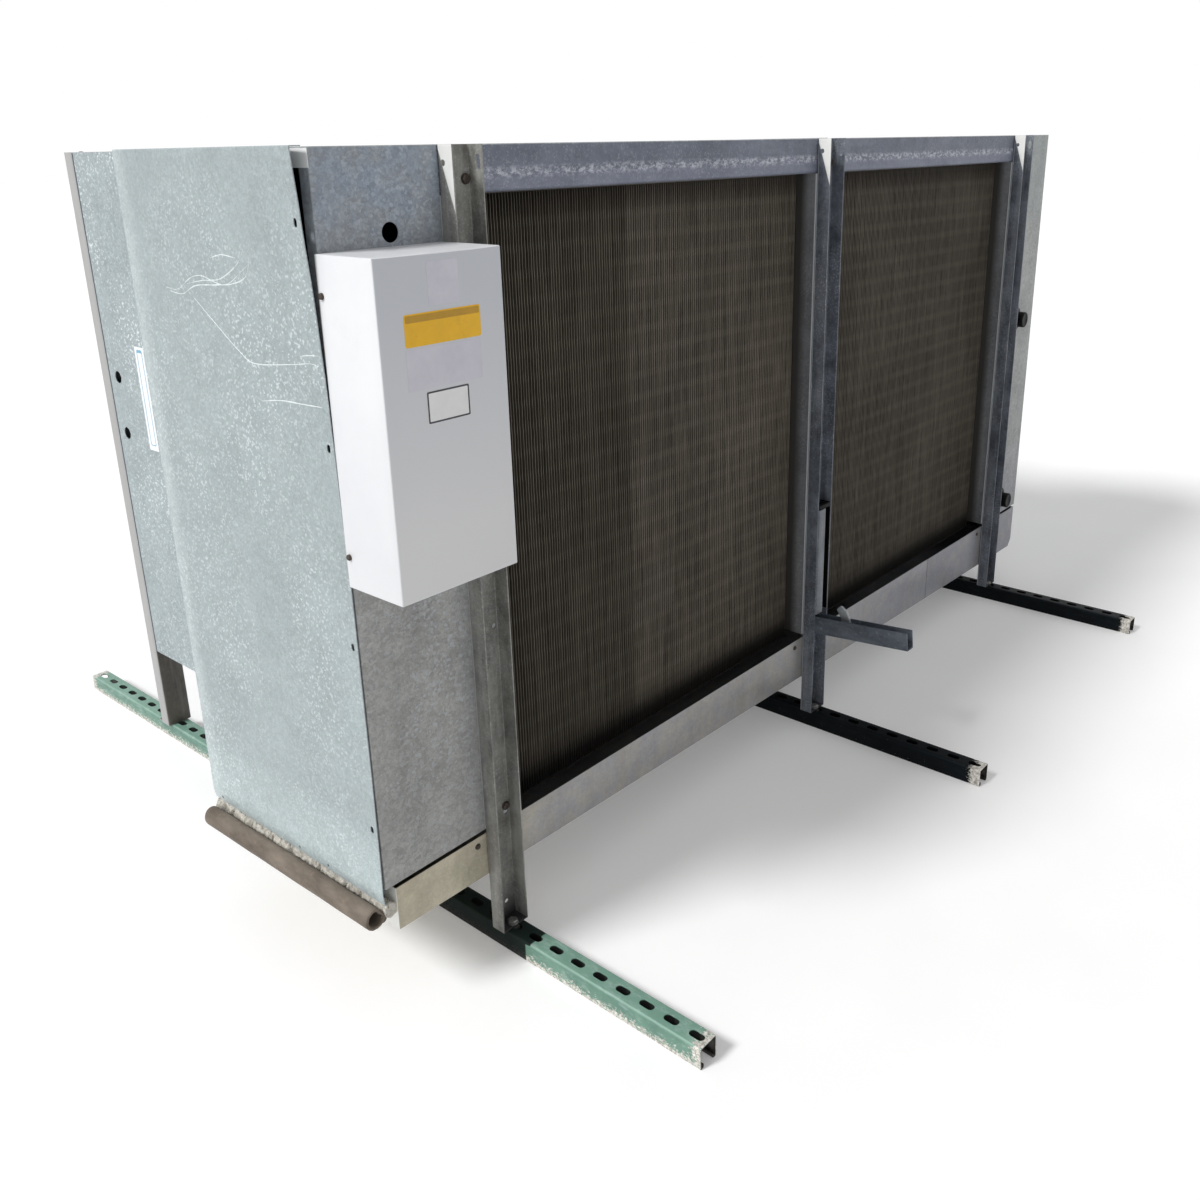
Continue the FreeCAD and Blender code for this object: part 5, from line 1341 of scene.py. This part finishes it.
# small hexagon screws that hold the sheets
def sheetScrews():
    ahead, fanFace, bayFace, rows = take(screws, "frontFace", "fanFace", "bayFace", "rowsUp")
    places = [(x, ahead, z, -1) for x, z in screws["front"]]
    places += [(x, ahead, screws["panHeight"], -1) for x in screws["pan"]]
    for k in range(rows + 1):
        z = screws["low"] + (screws["high"] - screws["low"]) * k / rows
        places += [(x, fanFace, z, 1) for x in screws["fanColumns"]]
        places += [(x, bayFace, z, 1) for x in screws["bayColumns"]]
        if k in (0, rows):
            places += [(x, fanFace, z, 1) for x in screws["endColumns"]]
    parts = []
    for x, y, z, reach in places:
        parts += hexHead((x, y, z), "y", screws["across"], screws["height"], screws["washer"], reach)
    dress(oneOf("sheet_screws", parts), "darkBolt", "zinc_bolts", smooth=30)


def roofScrews():
    places = [(-1.030 + 2.060 * k / 8, 0.580, screws["roof"]) for k in range(9)]
    places += [(x, y, screws["roof"]) for x in (-1.150, 1.140) for y in (-0.30, -0.05)]
    dress(copiesAt("roof_screws", panHead("z", 0.0046, 0.0016), places), "bolt", "zinc_bolts", smooth=30)


sheetScrews()
roofScrews()

roofLap = {"wide": 0.034, "front": -0.553, "back": 0.588, "thick": 0.0009, "top": 1.365}


# the strip over the joint of the two roof sheets
def roofStrip():
    half, top = roofLap["wide"] / 2, roofLap["top"]
    line = boxLine(-half, half, roofLap["front"], roofLap["back"])
    strip = prismOf("roof_strip", [line], top - 0.0002, top + roofLap["thick"], "z")
    dress(strip, "skin", "galvanised_sheet", smooth=0)


roofStrip()
print("bolts and screws made")

# tubes of the coil's ends

tubes = {"bendRadius": 0.0210, "tube": 0.0076, "face": -0.9875, "columns": (-0.470, -0.240, -0.130),
         "straight": 0.012, "slant": 0.022, "hoop": 0.03645, "hoopMiddle": -0.36535,
         "hoopHeights": tuple(0.3385 + 0.15 * n for n in range(6))}


# bends that join the rows outside the left plate, brazed on
def returnBends():
    reach, tube, face, step, hoop = tubes["bendRadius"], tubes["tube"], tubes["face"], coil["rows"], tubes["hoop"]
    ring = [(tube, 0.0), (tube + 0.0016, 0.0), (tube + 0.0012, -0.004), (tube, -0.005)]
    lines, parts = [], []
    for number, y in enumerate(tubes["columns"]):
        z = coil["low"] + step * (1.0 + 0.5 * (number % 2))
        slant = -tubes["slant"]
        while z + step < coil["high"] - 0.02:
            line = [(face - tubes["straight"] - reach * math.sin(angle), y - slant / 2 * math.cos(angle),
                     z + reach - reach * math.cos(angle)) for angle in (math.pi * k / 10 for k in range(11))]
            start, end = ((face + 0.001, *line[k][1:]) for k in (0, -1))
            lines.append([start] + line + [end])
            parts += [spun("braze", ring, (face, *tip[1:]), "x", 14) for tip in (start, end)]
            z += 2 * step
            slant = -slant
    for z in tubes["hoopHeights"]:
        lines.append([(face - hoop * math.sin(angle), tubes["hoopMiddle"] - hoop * math.cos(angle), z)
                      for angle in (math.pi * k / 16 for k in range(17))])
    parts.append(wires("bends", lines, tube, sides=3))
    dress(oneOf("hairpins", parts), "copper", "copper_tube", "return_bends", smooth=60)


header = {"x": 1.108, "y": -0.2327, "radius": 0.027, "low": 0.262, "high": 1.150, "wall": 0.9875, "stub": 0.02065,
          "taps": (0.332, 0.5913, 0.8507, 1.110), "liquid": 0.850, "suction": 0.292, "feeders": 4,
          "feeder": 0.0036, "eye": 0.0208, "rim": 0.0377}


def suctionHeader():
    x, y, radius, low, high, wall = take(header, "x", "y", "radius", "low", "high", "wall")
    tube = tubes["tube"]
    side = [(radius - 0.010, low + 0.0006), (radius - 0.003, low + 0.003), (radius, low + 0.010),
            (radius, high - 0.010), (radius - 0.003, high - 0.003), (radius - 0.010, high - 0.0006)]
    collar = [(tube, 0.0), (tube + 0.0035, 0.0), (tube + 0.0018, -0.006), (tube, -0.009)]
    parts = [spun("pipe", [(0, low)] + side + [(0, high)], (x, y, 0), "z", 40, False)]
    parts.append(wires("taps", [[(wall, y, z), (x - radius + 0.004, y, z)] for z in header["taps"]], tube, sides=3))
    parts += [spun("collar", collar, (x - radius + 0.0025, y, z), "x", 20) for z in header["taps"]]
    dress(oneOf("suction_pipe", parts), "copper", "copper_tube", "suction_header", smooth=50)


def liquidFeed():
    x, z, tip = header["x"], header["liquid"], -0.4074
    cone = [(0.0, -0.4522), (0.0200, -0.4522), (0.0206, -0.4514), (0.0206, -0.4470), (0.0150, -0.4360),
            (0.0150, -0.4250), (0.0112, -0.4150), (0.0103, tip), (0.0, tip)]
    lines = []
    for place in (number - 1.5 for number in range(header["feeders"])):
        rise, side = place * 0.15, place * 0.0035
        start = x + side * 0.4
        lines.append([(start, -0.4110, z + side), (start - 0.004, -0.3990, z + side + rise * 0.10),
                      (x - 0.045, -0.3720, z + rise * 0.55), (x - 0.085, -0.3630, z + rise * 0.96),
                      (header["wall"], -0.3624, z + rise)])
    parts = [spun("spreader", cone, (x, 0, z), "y", 36, False),
             wires("feeders", lines, header["feeder"], sides=3, smoothLine=True)]
    dress(oneOf("liquid_feed", parts), "copper", "copper_tube", "liquid_distributor", smooth=50)


# stubs through the front plate, with a swaged end under each cap
def pipeEnds():
    x, radius, eye, rim = take(header, "x", "stub", "eye", "rim")
    cap = [(0, -0.5864), (0.0150, -0.5866), (0.0158, -0.5870), (0.0195, -0.5870), (0.0215, -0.5862), (0.0222, -0.5845),
           (0.0222, -0.5640), (0.0216, -0.5636), (0.0222, -0.5632), (0.0222, -0.5612), (0.0212, -0.5610), (0, -0.5610)]
    ring = [(eye, -0.5566), (eye + 0.0012, -0.5578), (eye + 0.0040, -0.5580), (rim - 0.0030, -0.5580),
            (rim - 0.0006, -0.5574), (rim, -0.5560), (rim, -0.5494), (rim - 0.0010, -0.5482),
            (eye + 0.0020, -0.5480), (eye, -0.5490)]
    stubs, caps, grommets = [], [], []
    for z, inner in ((header["liquid"], -0.4524), (header["suction"], -0.2597)):
        stub = [(radius - 0.0014, -0.5604), (radius, -0.5598), (radius, inner - 0.004), (radius, inner),
                (radius - 0.0014, inner), (radius - 0.0014, -0.5590)]
        stubs.append(spun("stub", stub, (x, 0, z), "y", 40))
        caps.append(spun("cap", cap, (x, 0, z), "y", 40, False))
        grommets.append(spun("grommet", ring, (x, 0, z), "y", 48))
    dress(oneOf("stub_pipes", stubs), "copper", "copper_tube", "pipe_stubs")
    dress(oneOf("end_caps", caps), "black", "black_plastic", "stub_caps")
    dress(oneOf("grommet_rings", grommets), "rubber", "black_rubber", "pipe_grommets")


returnBends()
suctionHeader()
liquidFeed()
pipeEnds()

drain = {"x": 1.139, "y": -0.2955, "radius": 0.021, "low": 0.060, "top": 0.112, "bore": 0.018, "nutLow": 0.0982,
         "nutTop": 0.1052, "nutAcross": 0.052, "thread": 0.0016}


def drainFitting():
    x, y, radius, low, top, inside = take(drain, "x", "y", "radius", "low", "top", "bore")
    nutLow, nutTop, half = drain["nutLow"], drain["nutTop"], drain["nutAcross"] / math.sqrt(3)
    tube = [(inside, low), (radius - 0.0012, low), (radius - 0.0004, low + 0.0012)]
    z = low + 0.003
    while z < nutLow - 0.002:
        tube += [(radius, z), (radius - 0.0008, z + drain["thread"] / 2)]
        z += drain["thread"]
    tube += [(radius, nutLow), (radius, top - 0.001), (radius - 0.001, top), (inside, top)]
    nut = [(radius - 0.0002, nutLow), (half * 0.93, nutLow), (half, nutLow + 0.001), (half, nutTop - 0.0005),
           (half * 0.95, nutTop), (radius - 0.0002, nutTop)]
    parts = [spun("tube", tube, (x, y, 0), "z", 40), spun("nut", nut, (x, y, 0), "z", 6)]
    dress(oneOf("drain_fitting", parts), "drainPipe", "grey_plastic", "drain_outlet")


drainFitting()
print("tube ends, pipes and drain made")

# drain pan

pan = {"left": -1.238, "right": 1.229, "front": -0.557, "back": -0.034, "lip": 0.235, "lowLeft": 0.156,
       "lowRight": 0.104, "wall": 0.002, "corner": 0.022, "lap": 0.0007, "laps": ((0.628, 0.984), (1.048, 1.229)),
       "lapUp": 0.0015}


def panFloor(x):
    return pan["lowLeft"] + (x - pan["left"]) / (pan["right"] - pan["left"]) * (pan["lowRight"] - pan["lowLeft"])


def drainPan():
    left, right, front, back, lip, wall = take(pan, "left", "right", "front", "back", "lip", "wall")
    corner, up = pan["corner"], pan["lapUp"]
    fold = right - corner * 0.8
    outer = [(left, panFloor(left)), (fold, panFloor(right)), (right, panFloor(right) + corner), (right, lip),
             (left, lip)]
    trough = prismOf("pan", [outer], front, back, "y")
    inner = [(left + wall, panFloor(left) + wall), (fold - wall * 0.5, panFloor(right) + wall),
             (right - wall, panFloor(right) + corner + wall * 0.5), (right - wall, lip + spare),
             (left + wall, lip + spare)]
    bore(trough, [inner], front + wall, back - wall, "y")
    bore(trough, [circleLine(drain["x"], drain["y"], drain["radius"] + 0.0002, 40)], 0.09, 0.13, "z")
    softEdges(trough, 0.0007, 2, 40)
    parts = [trough]
    for low, high in pan["laps"]:
        end = [(high, panFloor(high) + up), (high, lip)]
        if high == right:
            end = [(fold, panFloor(high) + up), (high, panFloor(high) + corner), (high, lip)]
        line = [(low, panFloor(low) + up)] + end + [(low, lip)]
        parts.append(prismOf("lap", [line], front - pan["lap"], front + 0.0002, "y"))
    dress(oneOf("trough", parts), "pan", "pan_sheet", "drain_pan", smooth=30)


drainPan()

# bracket on the middle post

bracket = {"left": -0.0263, "wide": 0.028, "wall": 0.0027, "front": -0.592, "back": -0.560, "low": 0.301,
           "high": 0.5585, "armPlace": (-0.0263, -0.5637, 0.250), "armReach": 0.266, "armHeight": 0.043,
           "armTilt": 5.4, "plug": (-0.0263, 0.0263, -0.590, -0.560, 0.5585, 0.5685),
           "clipThick": 0.007, "clipLean": 0.10, "clipFoot": (-0.106, -0.0885),
           "clip": ((-0.1200, 0.0030), (-0.0900, 0.0030), (-0.0880, 0.0440), (-0.0790, 0.0640), (-0.0900, 0.0750),
                    (-0.1040, 0.0620), (-0.1100, 0.0440))}


# a bent channel's outline: wide along u, with flanges along v, open towards high v
def channelLine(wide, deep, wall, outside, edge=0.0005, inside=0.0008):
    corners = [(0, 0, outside), (wide, 0, outside), (wide, deep, edge), (wide - wall, deep, edge),
               (wide - wall, wall, inside), (wall, wall, inside), (wall, deep, edge), (0, deep, edge)]
    return roundedLine(corners)


def bracketUpright():
    left, wide, wall, front, low, high = take(bracket, "left", "wide", "wall", "front", "low", "high")
    line = [(left + p[0], front + p[1]) for p in channelLine(wide, bracket["back"] - front, wall, 0.0034)]
    upright = prismOf("nested_upright", [line], low, high, "z")
    softEdges(upright, 0.0004, 1, 50)
    dress(upright, "upright", "zinc_post", "bracket_upright", smooth=40)
    # painted shade: a black strip on the post's web beside the upright, where the gap is in shadow
    seal = [(left + wide, -0.5607), (0.0253, -0.5607), (0.0253, -0.5875), (0.0262, -0.5875), (0.0262, -0.5598),
            (left + wide, -0.5598)]
    dress(prismOf("channel_seal", [seal], low, high, "z"), "black", "black_rubber", smooth=0)


def bracketArm():
    wide, wall = bracket["wide"], bracket["wall"]
    tilt = Matrix.Translation(bracket["armPlace"]) @ Matrix.Rotation(-math.radians(bracket["armTilt"]), 4, "X")
    arm = prismOf("tipped_arm", [channelLine(wide, bracket["armHeight"], wall, 0.0036)], -bracket["armReach"], 0, "y")
    softEdges(arm, 0.0004, 1, 50)
    arm.data.transform(tilt)
    dress(arm, "darkSteel", "zinc_post", "bracket_arm", smooth=40)
    outline = [(y, z, 0.004 if z > 0.03 else 0) for y, z in bracket["clip"]]
    clip = prismOf("bent_clip", [roundedLine(outline, 3)], wide - wall - bracket["clipThick"], wide - wall, "x")
    for vert in clip.data.vertices:
        vert.co.x -= max(0.0, vert.co.z - 0.050) * bracket["clipLean"]
    foot = prismOf("clip_foot", [boxLine(wall, wide - wall, *bracket["clipFoot"])], wall, wall + 0.003, "z")
    clip = oneOf("bent_clip", [clip, foot])
    softEdges(clip, 0.0006, 2, 40)
    clip.data.transform(tilt)
    dress(clip, "skin", "zinc_post", "bracket_clip", smooth=40)


def bracketPlug():
    low, high, front, back, base, crown = bracket["plug"]
    body = [(low, front, 0.003), (high, front, 0.003), (high, back, 0.001), (low, back, 0.001)]
    plug = prismOf("end_plug", [roundedLine(body)], base, crown - 0.0002, "z")
    slots = [boxLine(start, start + 0.004, front + 0.006, back - 0.006)
             for start in (low + 0.008 + 0.012 * k for k in range(4))]
    bore(plug, slots, crown - 0.004, crown + spare, "z")
    softEdges(plug, 0.0012, 2, 60)
    dress(plug, "black", "black_plastic", "bracket_plug", smooth=40)


bracketUpright()
bracketArm()
bracketPlug()
print("pan and bracket made")

# foam sleeve and sealant under the left end cover

sleeve = {"x": -1.2745, "front": -0.5500, "back": -0.0425, "zFront": 0.1948, "zBack": 0.1820, "radius": 0.0200,
          "rim": 0.0060, "deep": 0.066, "flat": 0.0050, "flatAt": 38, "flatWide": 34, "sides": 48, "stations": 64,
          "dent": 0.0011, "dome": 0.017, "mouth": 0.004, "ragged": 0.0010, "curl": 0.0016}


def sleeveMiddle(y):
    share = (y - sleeve["back"]) / (sleeve["front"] - sleeve["back"])
    return sleeve["zBack"] + share * (sleeve["zFront"] - sleeve["zBack"])


# radius at an angle: pressed flat against the cover's edge, with soft dents
def sleeveRadius(angle, y):
    away = (math.degrees(angle) - sleeve["flatAt"] + 180) % 360 - 180
    press = sleeve["flat"] * math.exp(-(away / sleeve["flatWide"]) ** 2)
    dent = 0.5 + 0.5 * noise.noise(Vector((math.cos(angle) * 1.2, math.sin(angle) * 1.2, y * 16)))
    return sleeve["radius"] - press - sleeve["dent"] * dent


def sleeveRing(y, shrink, scale=1.0, edge=0.0):
    ring = []
    for angle in (fullTurn * k / sleeve["sides"] for k in range(sleeve["sides"])):
        ragged = edge * noise.noise(Vector((math.cos(angle) * 3, math.sin(angle) * 3, 4.2)))
        x, z = polar(sleeve["x"], sleeveMiddle(y), (sleeveRadius(angle, y) - shrink) * scale, angle)
        ring.append((x, y + ragged, z))
    return ring


def foamSleeve():
    front, back, rim, dome, mouth = take(sleeve, "front", "back", "rim", "dome", "mouth")
    places = [(back - dome * (1 - math.cos(turn)), 0, max(0.10, math.sin(turn)))
              for turn in (math.pi / 2 * k / 7 for k in range(8))]
    places += [(back - dome + (front + mouth - back + dome) * k / sleeve["stations"], 0)
               for k in range(1, sleeve["stations"])]
    lips = ((0.0022, 0.0002), (0.0012, 0.0014), (0.0014, rim - 0.0010), (0.0030, rim))
    places += [(front + ahead, shrink, 1, sleeve["ragged"]) for ahead, shrink in lips]
    places += [(front + mouth + sleeve["deep"] * k / 6, rim) for k in range(1, 7)]
    scrap = []
    for angle in (math.radians(-120 + 250 * k / 13) for k in range(14)):
        scrap.append((sleeve["x"] + 0.0140 + 0.0058 * math.cos(angle), front + 0.0035,
                      sleeve["zFront"] - 0.0085 + 0.0062 * math.sin(angle)))
    parts = [loftOf("pipe_sleeve", [sleeveRing(*place) for place in places]),
             wires("curl", [scrap], sleeve["curl"], sides=2)]
    dress(oneOf("pipe_sleeve", parts), "foam", "pipe_foam", "foam_sleeve", smooth=70)


foamSleeve()

bead = {"front": -0.5560, "back": -0.0400, "x": -1.2500, "wide": 0.0104, "tall": 0.0125, "drop": 0.0140,
        "stations": 190, "sides": 18, "wall": -1.2385, "gapWide": 0.0042,
        "gaps": (-0.068, -0.097, -0.160, -0.228, -0.288, -0.370, -0.446, -0.486)}


# a ragged line of sealant that fills the gap below the cover
def sealantBead():
    rings = []
    for k in range(bead["stations"] + 1):
        y = bead["back"] + (bead["front"] - bead["back"]) * k / bead["stations"]
        gap = max(math.exp(-((y - place) / bead["gapWide"]) ** 2) for place in bead["gaps"])
        swell = 1 + 0.22 * noise.noise(Vector((y * 60, 0.3, 1.1)))
        middle = coverLow(y) - bead["drop"] + 0.0010 * noise.noise(Vector((y * 45, 5.1, 2.2)))
        ring = []
        for angle in (fullTurn * side / bead["sides"] for side in range(bead["sides"])):
            along, up = math.cos(angle), math.sin(angle)
            crumb = 0.32 * noise.noise(Vector((along * 1.6, up * 1.6, y * 210)))
            crumb += 0.20 * noise.noise(Vector((along * 4, up * 4, y * 520)))
            share = swell * (1 + crumb) * (1 - 0.75 * gap * max(0.0, -along))
            ring.append((min(bead["x"] + bead["wide"] * share * along, bead["wall"]), y,
                         min(middle + bead["tall"] * share * up, coverLow(y) - 0.0006)))
        rings.append(ring)
    dress(loftOf("sealant_line", rings), "sealant", "sealant", "sealant_bead", smooth=0)


sealantBead()
print("sleeve and sealant made")

# inside the control box

relays = {"places": (-1.2363, -1.1443), "wide": 0.070, "deep": 0.045, "tall": 0.084, "back": -0.5582, "low": 1.0542,
          "step": 0.006, "rise": 0.034, "poles": 3, "polePitch": 0.0205, "bayDeep": 0.020}


def relayPieces(x):
    wide, tall, back, low, step = take(relays, "wide", "tall", "back", "low", "step")
    front, bayDeep = back - relays["deep"], relays["bayDeep"]
    body = prismOf("relay_base", [boxLine(x, x + wide, low, low + tall, 0.002)], front, back, "y")
    poles = [x + relays["polePitch"] * k for k in range(relays["poles"])]
    bays = [boxLine(pole + 0.0055, pole + 0.022, z, z + 0.015)
            for pole in poles for z in (low - 0.001, low + tall - 0.014)]
    bore(body, bays, front - 0.001, front + bayDeep, "y")
    places = [(pole + 0.0137, front + bayDeep, z) for pole in poles for z in (low + 0.007, low + tall - 0.007)]
    pins = copiesAt("relay_screws", panHead("y", 0.0042, 0.0030, -1), places)
    top = front - relays["rise"]
    line = boxLine(x + step, x + wide - step, low + 0.016, low + 0.068, 0.003)
    head = prismOf("relay_head", [line], top + 0.0004, front, "y")
    bore(head, [boxLine(x + 0.024, x + 0.046, low + 0.034, low + 0.050)], top - 0.001, top + 0.003, "y")
    softEdges(head, 0.0012, 2, 50)
    button = boxLine(x + 0.027, x + 0.043, low + 0.037, low + 0.047, 0.001)
    return [body, pins, head, prismOf("relay_button", [button], top + 0.0012, top + 0.004, "y")]


def contactors():
    parts = [part for x in relays["places"] for part in relayPieces(x)]
    dress(oneOf("relays", parts), "innerGrey", "black_plastic", "contactors")


terminals = {"left": -1.2293, "front": -0.6072, "back": -0.5652, "low": 0.8974, "high": 0.9474, "pitch": 0.0125,
             "count": 12, "wide": 0.0121, "seam": 0.0002, "ribDeep": 0.013, "ribInset": 0.016, "screwInset": 0.008}


def terminalRow():
    low, high, front, back, wide = take(terminals, "low", "high", "front", "back", "wide")
    shelf, inset = front + terminals["ribDeep"], terminals["ribInset"]
    parts, places = [], []
    for k in range(terminals["count"]):
        left = terminals["left"] + terminals["pitch"] * k + terminals["seam"]
        parts.append(prismOf("block", [boxLine(left, left + wide, low, high, 0.0006, 2)], shelf, back, "y"))
        rib = boxLine(left, left + wide, low + inset, high - inset)
        parts.append(prismOf("rib", [rib], front + 0.0004, shelf, "y"))
        places += [(left + 0.006, shelf, z) for z in (low + terminals["screwInset"], high - terminals["screwInset"])]
    parts.append(copiesAt("terminal_screws", panHead("y", 0.0038, 0.0028, -1), places))
    dress(oneOf("terminals", parts), "palePlastic", "grey_plastic", "terminal_block")


contactors()
terminalRow()
print("box inside made")
